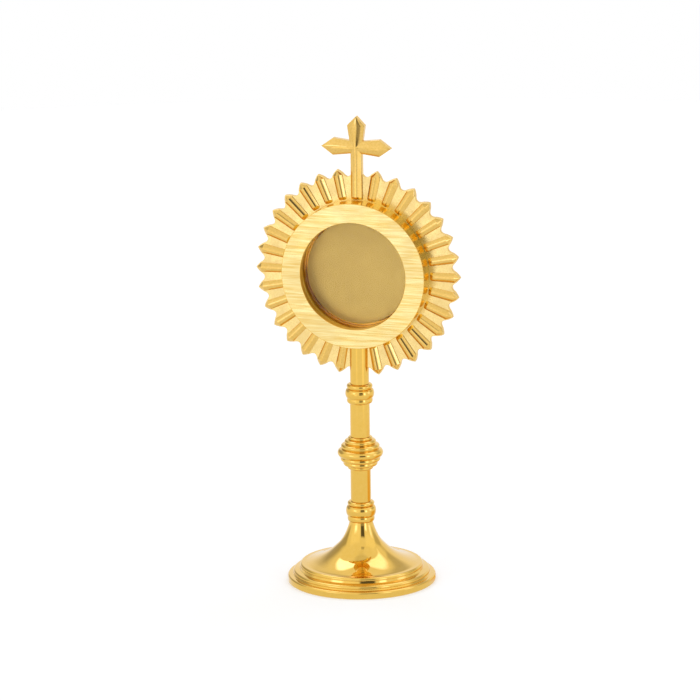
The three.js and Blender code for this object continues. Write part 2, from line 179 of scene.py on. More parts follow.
def arc(centre: Point, radius: float, start: float, end: float, steps: int) -> list[Point]:
    """Gives points on an arc.

    Args:
        centre: Middle of the arc.
        radius: Its radius.
        start: Angle of its first point from outwards towards up, in degrees.
        end: Angle of its last point, in degrees.
        steps: Segments between them.

    Returns:
        The points, from start to end.
    """
    angles = [math.radians(start + (end - start) * step / steps) for step in range(steps + 1)]
    return [(centre[0] + radius * math.cos(a), centre[1] + radius * math.sin(a)) for a in angles]


def flowing(points: Sequence[Point], steps: int = 5) -> list[Point]:
    """Draws a smooth curve through points.

    Args:
        points: Points that the curve passes through.
        steps: Segments between two of them.

    Returns:
        Points of the curve, from the first point to the last.
    """
    knots = [Vector(p) for p in points]
    knots = [2 * knots[0] - knots[1], *knots, 2 * knots[-1] - knots[-2]]
    curve: list[Point] = []
    for a, b, c, d in zip(knots, knots[1:], knots[2:], knots[3:]):
        for step in range(steps):
            t = step / steps
            square = 2 * a - 5 * b + 4 * c - d
            cube = 3 * b - a - 3 * c + d
            point = 0.5 * (2 * b + (c - a) * t + square * t**2 + cube * t**3)
            curve.append((point.x, point.y))
    return [*curve, tuple(points[-1])]


def add_bead(outline: list[Point], top: float, crest: float, waist: float, steps: int = 14) -> None:
    """Adds a turned bead to an outline, from where it ends now.

    Args:
        outline: Outline so far. It grows by the bead.
        top: Height of the bead's upper end.
        crest: Largest radius of the bead.
        waist: Radius at its upper end.
        steps: Segments of the bead.
    """
    start, bottom = outline[-1]
    for step in range(1, steps + 1):
        share = step / steps
        angle = math.pi * share
        base = start + (waist - start) * share
        height = (bottom + top) / 2 - math.cos(angle) * (top - bottom) / 2
        outline.append((base + (crest - base) * math.sin(angle), height))


# Modelling by hand


def deselect() -> None:
    """Leaves no object selected."""
    bpy.ops.object.select_all(action="DESELECT")


def select_mesh() -> None:
    """Selects all of the mesh that is open in edit mode."""
    bpy.ops.mesh.select_all(action="SELECT")


def reopen() -> None:
    """Opens the active piece in edit mode with everything selected."""
    bpy.ops.object.mode_set(mode="EDIT")
    select_mesh()


def extrude(shift: Vector) -> None:
    """Extrudes what is selected by a shift, in metres."""
    bpy.ops.mesh.extrude_region_move(TRANSFORM_OT_translate={"value": shift})


def ease_edges(width: float) -> None:
    """Rounds the selected edges over a width, in millimetres."""
    bpy.ops.mesh.bevel(offset=width * MM, segments=2, affect="EDGES")


def turn_about(angle: float, centre: Vector) -> None:
    """Turns what is selected about the line through a centre that runs from the front back."""
    bpy.ops.transform.rotate(value=angle, orient_axis="Y", center_override=centre)


def work_on(piece: Piece) -> None:
    """Selects one object alone and makes it the active one."""
    deselect()
    piece.select_set(True)
    bpy.context.view_layer.objects.active = piece


def claim(name: str) -> Piece:
    """Names the primitive just added, puts its place in its mesh and opens it in edit mode.

    Args:
        name: Name of the piece.

    Returns:
        The piece, in edit mode with everything selected.
    """
    piece = bpy.context.object
    piece.name = piece.data.name = name
    bpy.ops.object.transform_apply(location=True, rotation=True, scale=True)
    reopen()
    return piece


def draw(name: str, points: Sequence[Vector]) -> Piece:
    """Draws a chain of edges from point to point.

    Args:
        name: Name of the new piece.
        points: Places of its vertices, in metres.

    Returns:
        The piece, in edit mode with its last vertex selected.
    """
    deselect()
    bpy.ops.mesh.primitive_plane_add(size=MM, location=points[0])
    piece = claim(name)
    bpy.ops.mesh.select_mode(type="VERT")
    bpy.ops.mesh.merge(type="CENTER")
    for before, after in zip(points, points[1:]):
        extrude(after - before)
    return piece


def pick(kind: str, test: Test) -> None:
    """Selects, in edit mode, only what passes a test.

    Args:
        kind: VERT, EDGE or FACE.
        test: Called with the middle and the normal of each.
    """
    bpy.ops.mesh.select_all(action="DESELECT")
    bpy.ops.mesh.select_mode(type=kind)
    data = bpy.context.edit_object.data
    mesh = bmesh.from_edit_mesh(data)
    mesh.normal_update()
    if kind == "VERT":
        found = [v for v in mesh.verts if test(v.co, v.normal)]
    elif kind == "EDGE":
        found = [e for e in mesh.edges if test(sum((v.co for v in e.verts), Vector()) / 2, edge_normal(e))]
    else:
        found = [f for f in mesh.faces if test(f.calc_center_median(), f.normal)]
    for element in found:
        element.select_set(True)
    mesh.select_flush_mode()
    bmesh.update_edit_mesh(data)


def edge_normal(edge: bmesh.types.BMEdge) -> Vector:
    """Gives the mean of the normals at an edge's ends."""
    return (edge.verts[0].normal + edge.verts[1].normal).normalized()


def close_mesh() -> None:
    """Merges doubles, points the faces outwards and leaves edit mode."""
    select_mesh()
    bpy.ops.mesh.remove_doubles(threshold=WELD)
    bpy.ops.mesh.normals_make_consistent(inside=False)
    bpy.ops.object.mode_set(mode="OBJECT")


def apply_modifier(piece: Piece, kind: str, **settings: object) -> None:
    """Adds one modifier to a piece and applies it.

    Args:
        piece: The piece.
        kind: Type of the modifier.
        **settings: Its settings.
    """
    work_on(piece)
    modifier = piece.modifiers.new("step", kind)
    for key, value in settings.items():
        setattr(modifier, key, value)
    bpy.ops.object.modifier_apply(modifier=modifier.name)


def combine(piece: Piece, operation: str, *tools: Piece) -> None:
    """Joins other solids to a piece or cuts them out of it, and removes them.

    Args:
        piece: The piece that stays.
        operation: UNION, DIFFERENCE or INTERSECT.
        *tools: The other solids.
    """
    for tool in tools:
        apply_modifier(piece, "BOOLEAN", operation=operation, solver="EXACT", object=tool)
        bpy.data.objects.remove(tool)


def smooth(piece: Piece, below: float = SMOOTH_BELOW) -> None:
    """Shades a piece smooth where its faces meet at less than an angle, with flat faces kept flat.

    Args:
        piece: The piece.
        below: The angle, in degrees.
    """
    work_on(piece)
    bpy.ops.object.shade_smooth_by_angle(angle=math.radians(below))
    apply_modifier(piece, "WEIGHTED_NORMAL", keep_sharp=True)


def turned(name: str, outline: Sequence[Point], axis: Axis, steps: int, ring: bool = True) -> Piece:
    """Turns a piece, as on a lathe, from its outline.

    Args:
        name: Name of the new piece.
        outline: Radii and heights, in millimetres.
        axis: Line that it is spun about.
        steps: Segments of the full turn.
        ring: Whether the outline closes on itself. Otherwise both its ends lie on the axis.

    Returns:
        The piece.
    """
    points = [axis.place(*point) for point in outline]
    piece = draw(name, points + points[:1] if ring else points)
    select_mesh()
    bpy.ops.mesh.remove_doubles(threshold=WELD)
    bpy.ops.mesh.spin(steps=steps, angle=math.tau, center=axis.place(0, 0), axis=axis.along)
    close_mesh()
    smooth(piece)
    return piece


def turned_eased(name: str, corners: Sequence[Corner], axis: Axis, steps: int, ring: bool = True) -> Piece:
    """Turns a piece from the corners of its outline, each with its easing radius."""
    return turned(name, eased(corners, closed=ring), axis, steps, ring)


def slab(name: str, outline: Sequence[Corner], depth: Corner, edge: float = 0) -> Piece:
    """Cuts a flat piece with a given outline, and eases all its edges.

    Args:
        name: Name of the new piece.
        outline: Its corners, in millimetres.
        depth: Its thickness as a direction, in millimetres.
        edge: Width of the easing, in millimetres.

    Returns:
        The piece.
    """
    piece = draw(name, [Vector(p) * MM for p in outline])
    select_mesh()
    bpy.ops.mesh.edge_face_add()
    extrude(Vector(depth) * MM)
    select_mesh()
    bpy.ops.mesh.normals_make_consistent(inside=False)
    if edge > 0:
        ease_edges(edge)
    close_mesh()
    return piece


def block(name: str, low: Corner, high: Corner, edge: float = 0) -> Piece:
    """Cuts a rectangular piece between two corners, with eased edges.

    Args:
        name: Name of the new piece.
        low: Its lowest corner, in millimetres.
        high: Its highest corner, in millimetres.
        edge: Width of the easing, in millimetres.

    Returns:
        The piece.
    """
    left, front, bottom = low
    right, back, top = high
    outline = [(left, front, bottom), (right, front, bottom), (right, front, top), (left, front, top)]
    return slab(name, outline, (0, back - front, 0), edge)


def merge_pieces(name: str, pieces: Sequence[Piece]) -> Piece:
    """Welds several solids to one piece.

    Args:
        name: Name of the piece.
        pieces: The solids. The first one stays and takes the name.

    Returns:
        The piece.
    """
    combine(pieces[0], "UNION", *pieces[1:])
    pieces[0].name = pieces[0].data.name = name
    return pieces[0]


# Finishes


def linear(code: str) -> tuple[float, float, float, float]:
    """Turns an sRGB hex colour to linear light.

    Args:
        code: The colour, as #RRGGBB.

    Returns:
        Red, green, blue and an alpha of 1.
    """
    shares = [int(code[i : i + 2], 16) / 255 for i in (1, 3, 5)]
    return (*(s / 12.92 if s <= 0.04045 else ((s + 0.055) / 1.055) ** 2.4 for s in shares), 1.0)


def add_node(
    tree: Tree,
    kind: str,
    inputs: dict[str | int, object] | None = None,
    **settings: object,
) -> bpy.types.Node:
    """Adds a node with its settings, values and links.

    Args:
        tree: Tree that it goes in.
        kind: Type of the node, without ShaderNode.
        inputs: A value or an output socket for each named or numbered input.
        **settings: Settings of the node.

    Returns:
        The node.
    """
    node = tree.nodes.new("ShaderNode" + kind)
    for key, value in settings.items():
        setattr(node, key, value)
    for key, value in (inputs or {}).items():
        if isinstance(value, Socket):
            tree.links.new(value, node.inputs[key])
        else:
            node.inputs[key].default_value = value
    return node


def new_material(name: str) -> tuple[Material, Tree]:
    """Makes an empty node material.

    Args:
        name: Name of the material.

    Returns:
        The material and its tree.
    """
    material = bpy.data.materials.new(name)
    material.use_nodes = True
    material.node_tree.nodes.clear()
    return material, material.node_tree


@dataclass(frozen=True)
class Metal:
    """A metal surface with the marks of its making.

    Attributes:
        name: Name of the material.
        colour: Colour of the surface.
        deep: Colour in the lows of the marks.
        roughness: Least roughness.
        swing: How much rougher the marks are.
        grain: How the marks run.
        spacing: Distance between marks, in millimetres.
        stretch: How many times longer than their spacing the marks are, where they run in a direction.
        relief: Depth of the marks, in millimetres.
        blotch: Size of the soft unevenness of plating and polish, in millimetres.
    """

    name: str
    colour: str
    deep: str
    roughness: float
    swing: float
    grain: Grain
    spacing: float
    stretch: float
    relief: float
    blotch: float

    def marks(self, tree: Tree) -> Socket:
        """Adds the pattern of the marks.

        Args:
            tree: Tree that it goes in.

        Returns:
            Its value, from 0 in the lows to 1 on the highs.
        """
        node = partial(add_node, tree)
        place = node("TexCoord").outputs["Object"]
        fine = 1 / (self.spacing * MM)
        if self.grain is Grain.RINGS:
            offset = node("Mapping", {"Vector": place, "Location": (0, 0, -CASE_Z * MM)})
            flat = node("VectorMath", {0: offset.outputs[0], 1: (1, 0, 1)}, operation="MULTIPLY")
            radius = node("VectorMath", {0: flat.outputs[0]}, operation="LENGTH")
            place = node("CombineXYZ", {"X": radius.outputs["Value"]}).outputs[0]
        across = fine / self.stretch
        scale = (across, fine, fine) if self.grain is Grain.ACROSS else (fine, fine, fine)
        spread = node("Mapping", {"Vector": place, "Scale": scale}).outputs[0]
        noise = node("TexNoise", {"Vector": spread, "Scale": 1.0, "Detail": 3.0, "Roughness": 0.6})
        contrast = {"Value": noise.outputs["Fac"], "From Min": 0.3, "From Max": 0.7}
        return node("MapRange", contrast).outputs[0]

    def build(self) -> Material:
        """Makes the material."""
        material, tree = new_material(self.name)
        node = partial(add_node, tree)
        marks = self.marks(tree)
        place = node("TexCoord").outputs["Object"]
        size = 1 / (self.blotch * MM)
        blotch = node("TexNoise", {"Vector": place, "Scale": size, "Detail": 2.0, "Roughness": 0.5})
        tint = node("Mix", {0: marks, 6: linear(self.deep), 7: linear(self.colour)}, data_type="RGBA")
        limits = {"From Min": 0.35, "From Max": 0.65, "To Min": 0.7, "To Max": 1.3}
        uneven = node("MapRange", {"Value": blotch.outputs["Fac"], **limits}).outputs[0]
        roughest = self.roughness + self.swing
        rough = node("MapRange", {0: marks, "To Min": roughest, "To Max": self.roughness})
        roughness = node("Math", {0: rough.outputs[0], 1: uneven}, operation="MULTIPLY").outputs[0]
        bump = node("Bump", {"Strength": 1.0, "Distance": self.relief * MM, "Height": marks}).outputs[0]
        surface = {"Base Color": tint.outputs[2], "Metallic": 1.0, "Roughness": roughness, "Normal": bump}
        metal = node("BsdfPrincipled", surface)
        node("OutputMaterial", {"Surface": metal.outputs[0]})
        return material


@dataclass(frozen=True)
class FloatGlass:
    """Bloomed display glass: smooth, nearly colourless and hardly mirroring, so the chamber shows clear."""

    name: str = "bloomed_float_glass"
    colour: str = "#FCFDFB"
    roughness: float = 0.01
    ior: float = 1.22

    def build(self) -> Material:
        """Makes the material. Lamps shine straight through, as they do through a thin flat pane."""
        material, tree = new_material(self.name)
        node = partial(add_node, tree)
        sheet = {"Roughness": self.roughness, "IOR": self.ior, "Transmission Weight": 1.0}
        glass = node("BsdfPrincipled", {"Base Color": linear(self.colour), **sheet}).outputs[0]
        clear = node("BsdfTransparent").outputs[0]
        shadow = node("LightPath").outputs["Is Shadow Ray"]
        shown = node("MixShader", {0: shadow, 1: glass, 2: clear})
        node("OutputMaterial", {"Surface": shown.outputs[0]})
        return material


@dataclass(frozen=True)
class MouldedRubber:
    """Moulded black rubber: dull, with a soft fine unevenness."""

    name: str = "moulded_rubber"
    colour: str = "#2B2620"
    worn: str = "#3A342C"
    roughness: float = 0.75
    patch: float = 1.5

    def build(self) -> Material:
        """Makes the material."""
        material, tree = new_material(self.name)
        node = partial(add_node, tree)
        place = node("TexCoord").outputs["Object"]
        noise = node("TexNoise", {"Vector": place, "Scale": 1 / (self.patch * MM), "Detail": 3.0})
        shades = {0: noise.outputs["Fac"], 6: linear(self.colour), 7: linear(self.worn)}
        tint = node("Mix", shades, data_type="RGBA").outputs[2]
        rubber = node("BsdfPrincipled", {"Base Color": tint, "Roughness": self.roughness})
        node("OutputMaterial", {"Surface": rubber.outputs[0]})
        return material


Finish = Metal | FloatGlass | MouldedRubber

# Gold plate over turned and polished brass: a deep warm mirror, faintly wavy from the buffing wheel
POLISHED_GILT = Metal(
    "polished_gold_plate", "#EDC260", "#EABE58", 0.035, 0.03, Grain.EVEN, 1.6, 1, 0.0006, 9
)
# Gold plate over a casting buffed by hand: still bright, but softer and more uneven than the turned pieces
BUFFED_GILT = Metal("buffed_gold_plate", "#EEC672", "#E5BA5F", 0.09, 0.07, Grain.EVEN, 0.8, 1, 0.003, 5)
# Gold plate over straight-brushed sheet: level lines, drawn 0.6 mm apart so that they show, that spread
# the light up and down; the ring looks paler than the polished metal round it partly from that spread light
# and partly from its pale colour, which is painted sheen
BRUSHED_GILT_PAINTED_SHEEN = Metal(
    "brushed_gold_painted_sheen", "#FBE9AA", "#ECC468", 0.24, 0.12, Grain.ACROSS, 0.6, 22, 0.006, 14
)
# Gold plate over cast brass left as it came from the mould: soft, with a fine sandy skin. Its pale colour
# is painted sheen, standing in for the bright light that the flat valleys mirror
CAST_GILT_PAINTED_SHEEN = Metal("cast_gold_painted_sheen", "#F8DC96", "#F0D084", 0.22, 0.1, Grain.EVEN, 0.5, 1, 0.004, 7)
# Gold plate over a surface blasted with fine beads: a dull even sheen in the chamber
SATIN_GILT = Metal("satin_gold_plate", "#DBB764", "#D6B160", 0.46, 0.04, Grain.EVEN, 3.0, 1, 0.0, 70)
# Bare turned brass: duller and greener than the plate, with the lathe tool's rings
TURNED_BRASS = Metal("turned_brass", "#D9B45A", "#B98F3C", 0.2, 0.16, Grain.EVEN, 0.5, 1, 0.003, 6)
# Gold plate over a turned disc: the mirror shows the fine rings of the lathe
TURNED_GILT = Metal("turned_gold_plate", "#F0C05E", "#E6B24E", 0.09, 0.1, Grain.RINGS, 0.35, 1, 0.002, 10)
# Gold plate over drawn tube without a last polish: what stands beside it shows in it as soft amber
DRAWN_GILT = Metal("drawn_gold_plate", "#F8DA6C", "#F2D062", 0.17, 0.05, Grain.EVEN, 1.6, 1, 0.0006, 9)
# Zinc-plated steel: cool grey with a soft uneven shine
ZINC_STEEL = Metal("zinc_plated_steel", "#C9CCCE", "#A5A9AC", 0.26, 0.14, Grain.EVEN, 0.7, 1, 0.002, 4)


class Workshop:
    """Keeps the finishes and hands each finished piece over to the frame."""

    def __init__(self) -> None:
        """Starts with no material made."""
        self.made: dict[str, Material] = {}

    def material(self, finish: Finish) -> Material:
        """Gives a finish's material, and makes it the first time."""
        if finish.name not in self.made:
            self.made[finish.name] = finish.build()
        return self.made[finish.name]

    def dress(self, piece: Piece, node: str, body: Body, slot: Slot, finish: Finish) -> None:
        """Gives a piece its finish, its body and the solid that it stands for.

        Args:
            piece: The finished piece.
            node: Name of the solid that it replaces.
            body: Body that it rides on.
            slot: Slot of the record that its finish belongs to. Not used.
            finish: Its finish all over.
        """
        piece.data.materials.clear()
        piece.data.materials.append(self.material(finish))
        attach(piece, body.value)
        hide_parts(node)
        faces = len(piece.data.polygons)
        log.info("%s stands for %s on %s, %d faces", piece.name, node, body.value, faces)

    def dress_part(self, piece: Piece, finish: Metal, test: Test) -> None:
        """Gives another finish to the faces that pass a test.

        Args:
            piece: A dressed piece.
            finish: Finish of those faces.
            test: Called with the middle and the normal of each face.
        """
        piece.data.materials.append(self.material(finish))
        index = len(piece.data.materials) - 1
        for face in piece.data.polygons:
            if test(face.center, face.normal):
                face.material_index = index


# Sub-assemblies


@dataclass
class Stem:
    """Foot, collars, tubes and knop, clamped together by a tie rod, and the post that carries the case."""

    foot_radius: float = 31.2
    foot_top: float = 25.6
    foot_neck: float = 4.95
    web: float = 16.0
    hollow_rim: float = 30.5
    rod_radius: float = 2.0
    rod_bore: float = 2.04
    washer_radius: float = 4.5
    washer_bore: float = 2.12
    washer_low: float = 15.2
    washer_high: float = 15.96
    rod_bottom: float = 11.0
    rod_top: float = 87.6
    thread_pitch: float = 0.7
    nut_corner: float = 4.04
    nut_flat: float = 3.5
    nut_low: float = 12.04
    nut_high: float = 15.16
    lower_tube: float = 4.28
    upper_tube: float = 4.15
    tube_bore: float = 3.2
    collar_top: float = 34.4
    knop_low: float = 48.4
    knop_top: float = 62.5
    upper_low: float = 77.0
    upper_top: float = 85.5
    post_radius: float = 3.97
    post_top: float = 103.2
    saddle_drum: float = 31.03
    saddle_ring: float = 33.53
    saddle_step: float = 1.1
    fork_low: float = 88.9
    fork_high: float = 92.1
    fork_tip: float = 3.2
    fork_front: float = -0.72
    fork_back: float = 1.12

    def foot(self) -> Piece:
        """Turns the foot: a stepped rim, a trumpet flare and a hollow underside."""
        steps = [
            (30.9, 0.0),
            (self.foot_radius, 0.3),
            (self.foot_radius, 1.9),
            *arc((30.4, 2.2), 0.8, 8, 84, 7),
            (29.35, 3.02),
            (29.05, 3.16),
            *arc((27.9, 4.05), 1.0, -28, 92, 12),
            (26.5, 5.26),
            (26.15, 5.46),
            *arc((25.0, 6.75), 0.98, -28, 92, 12),
            (24.3, 7.72),
        ]
        flare = flowing(
            [
                (23.6, 7.8), (22.3, 8.15), (20, 8.9), (17.2, 10.1), (14.8, 11.45), (12.7, 13),
                (10.8, 14.7), (9.1, 16.4), (7.75, 18.3), (6.75, 20.2), (5.95, 22.1), (5.3, 24),
                (self.foot_neck, self.foot_top),
            ]
        )
        hollow = [
            (self.rod_bore, self.foot_top),
            (self.rod_bore, self.web),
            (6.4, self.web),
            *flowing([(9.2, 13.2), (13, 10.2), (18, 7.4), (25, 4.2), (28.4, 0.9)], 4),
            (28.75, 0.25),
            (29.0, 0.0),
        ]
        return turned("foot_casting", [*steps, *flare, *hollow], STEM_AXIS, LARGE_TURN)

    def bored(self, outline: list[Point]) -> list[Point]:
        """Closes an outline along the rod's bore."""
        return [*outline, (self.rod_bore, outline[-1][1]), (self.rod_bore, outline[0][1])]

    def lower_collar(self) -> Piece:
        """Turns the three beads above the foot."""
        outline = [(self.foot_neck, self.foot_top + PRESS_GAP)]
        add_bead(outline, 28.0, 5.7, 5.55)
        add_bead(outline, 32.5, 6.35, 5.1, 22)
        add_bead(outline, self.collar_top, 5.65, self.lower_tube + 0.05)
        return turned("collar_lower", self.bored(outline), STEM_AXIS, STEM_TURN)

    def knop(self) -> Piece:
        """Turns the knop: seven beads, widest in the middle."""
        outline = [(self.lower_tube + 0.05, self.knop_low)]
        add_bead(outline, 49.9, 5.4, 5.5, 10)
        add_bead(outline, 51.9, 7.25, 7.2)
        add_bead(outline, 53.8, 8.4, 8.1)
        add_bead(outline, 57.3, 9.62, 7.9, 20)
        add_bead(outline, 59.4, 8.15, 6.5)
        add_bead(outline, 61.3, 6.65, 4.9)
        add_bead(outline, self.knop_top, 5.15, self.upper_tube + 0.05, 10)
        return turned("knop_turning", self.bored(outline), STEM_AXIS, STEM_TURN)

    def upper_collar(self) -> Piece:
        """Turns the three beads below the case."""
        outline = [(self.upper_tube + 0.05, self.upper_low)]
        add_bead(outline, 79.4, 5.45, 5.35)
        add_bead(outline, 83.3, 6.08, 5.05, 22)
        add_bead(outline, self.upper_top, 5.45, self.post_radius + 0.05)
        return turned("collar_upper", self.bored(outline), STEM_AXIS, STEM_TURN)

    def tube(self, name: str, radius: float, low: float, high: float) -> Piece:
        """Turns a plain tube with eased ends.

        Args:
            name: Name of the piece.
            radius: Its outer radius.
            low: Height of its lower end.
            high: Height of its upper end.

        Returns:
            The piece.
        """
        corners = band(radius, self.tube_bore, low + PRESS_GAP, high - PRESS_GAP, 0.1, 0.1)
        return turned_eased(name, corners, STEM_AXIS, STEM_TURN)

    def rod(self) -> Piece:
        """Turns the tie rod, with its thread where it shows below the foot's web."""
        outline: list[Point] = [(0, self.rod_bottom), (self.rod_radius - 0.5, self.rod_bottom)]
        height = self.rod_bottom + 0.4
        while height < self.web - self.thread_pitch:
            outline.append((self.rod_radius - 0.35, height))
            outline.append((self.rod_radius, height + self.thread_pitch * 0.4))
            outline.append((self.rod_radius, height + self.thread_pitch * 0.6))
            height += self.thread_pitch
        outline += [(self.rod_radius, self.web), (self.rod_radius, self.rod_top - 0.4)]
        outline += [(self.rod_radius - 0.4, self.rod_top), (0, self.rod_top)]
        return turned("rod_threaded", outline, STEM_AXIS, SMALL_TURN, ring=False)

    def washer(self) -> Piece:
        """Turns the washer between the nut and the foot's web."""
        faces = (self.washer_low, self.washer_high)
        corners = band(self.washer_radius, self.washer_bore, *faces, 0.12, 0.05)
        return turned_eased("washer_flat", corners, STEM_AXIS, SMALL_TURN)

    def nut(self) -> Piece:
        """Cuts the hexagon nut, bores it and chamfers its corners."""
        low, high = self.nut_low, self.nut_high
        height = high - low
        middle = (high + low) / 2
        deselect()
        bpy.ops.mesh.primitive_cylinder_add(
            vertices=6, radius=self.nut_corner * MM, depth=height * MM, location=(0, 0, middle * MM)
        )
        nut = claim("nut_hexagon")
        close_mesh()
        flat = self.nut_flat - 0.1
        wide = self.nut_corner + 0.3
        slope = (wide - self.nut_flat) * math.tan(math.radians(30))
        cone = [(0, low), (flat, low), (wide, low + slope), (wide, high - slope), (flat, high), (0, high)]
        combine(nut, "INTERSECT", turned("nut_chamfer", cone, STEM_AXIS, SMALL_TURN, ring=False))
        mouth = self.rod_bore + 0.4
        bore = [
            (0, low - 1), (mouth, low - 1), (self.rod_bore, low + 0.3),
            (self.rod_bore, high - 0.3), (mouth, high + 1), (0, high + 1),
        ]
        combine(nut, "DIFFERENCE", turned("nut_bore", bore, STEM_AXIS, SMALL_TURN, ring=False))
        smooth(nut, 20)
        return nut

    def post(self) -> Piece:
        """Turns the neck post and cuts its fork, its saddle under the drum and its blind bore."""
        top = self.post_top
        bottom = self.upper_top
        bore_end = self.rod_top + 0.3
        corners = [
            (0, bore_end, 0), (self.rod_bore, bore_end, 0), (self.rod_bore, bottom, 0),
            (self.post_radius, bottom + PRESS_GAP, 0.08), (self.post_radius, top, 0), (0, top, 0),
        ]
        post = turned_eased("post_forked", corners, STEM_AXIS, STEM_TURN, ring=False)
        narrow = block(
            "fork_low",
            (-self.fork_tip, self.fork_front, self.fork_low),
            (self.fork_tip, self.fork_back, self.fork_high + 1),
        )
        fork = block("fork", (-6, self.fork_front, self.fork_high), (6, self.fork_back, top + 1))
        under_drum, under_ring, step = self.saddle_drum, self.saddle_ring, self.saddle_step
        front = [(0, -9), (under_drum, -9), (under_drum, step)]
        saddle = [*front, (under_ring, step), (under_ring, 6), (0, 6)]
        drum = turned("saddle", saddle, CASE_AXIS, LARGE_TURN, ring=False)
        combine(post, "DIFFERENCE", narrow, fork, drum)
        smooth(post)
        return post

    def build(self, workshop: Workshop) -> None:
        """Builds and dresses the stem from the table up."""
        gilt = (Body.STAND, Slot.POLISHED, POLISHED_GILT)
        foot = self.foot()
        workshop.dress(foot, "foot", *gilt)
        rim = self.hollow_rim * MM

        def inside(middle: Vector, normal: Vector) -> bool:
            """True for the faces of the foot's hollow."""
            radius = math.hypot(middle.x, middle.y)
            return radius < rim and middle.z < self.web * MM + WELD and normal.z < -0.2

        workshop.dress_part(foot, CAST_GILT_PAINTED_SHEEN, inside)
        workshop.dress(self.washer(), "foot_washer", Body.STAND, Slot.STEEL, ZINC_STEEL)
        workshop.dress(self.nut(), "foot_nut", Body.STAND, Slot.BRASS, TURNED_BRASS)
        workshop.dress(self.rod(), "tie_rod", Body.STAND, Slot.STEEL, ZINC_STEEL)
        workshop.dress(self.lower_collar(), "lower_collar", *gilt)
        lower = self.tube("tube_lower", self.lower_tube, self.collar_top, self.knop_low)
        workshop.dress(lower, "lower_tube", *gilt)
        workshop.dress(self.knop(), "knop", *gilt)
        upper = self.tube("tube_upper", self.upper_tube, self.knop_top, self.upper_low)
        workshop.dress(upper, "upper_tube", *gilt)
        workshop.dress(self.upper_collar(), "upper_collar", *gilt)
        workshop.dress(self.post(), "neck_post", *gilt)


@dataclass(frozen=True)
class Station:
    """One section of a ridged bar.

    Attributes:
        out: Distance out along the bar from the case's middle.
        half: Half of its width there.
        rise: Height of its ridge above its bed there.
    """

    out: float
    half: float
    rise: float


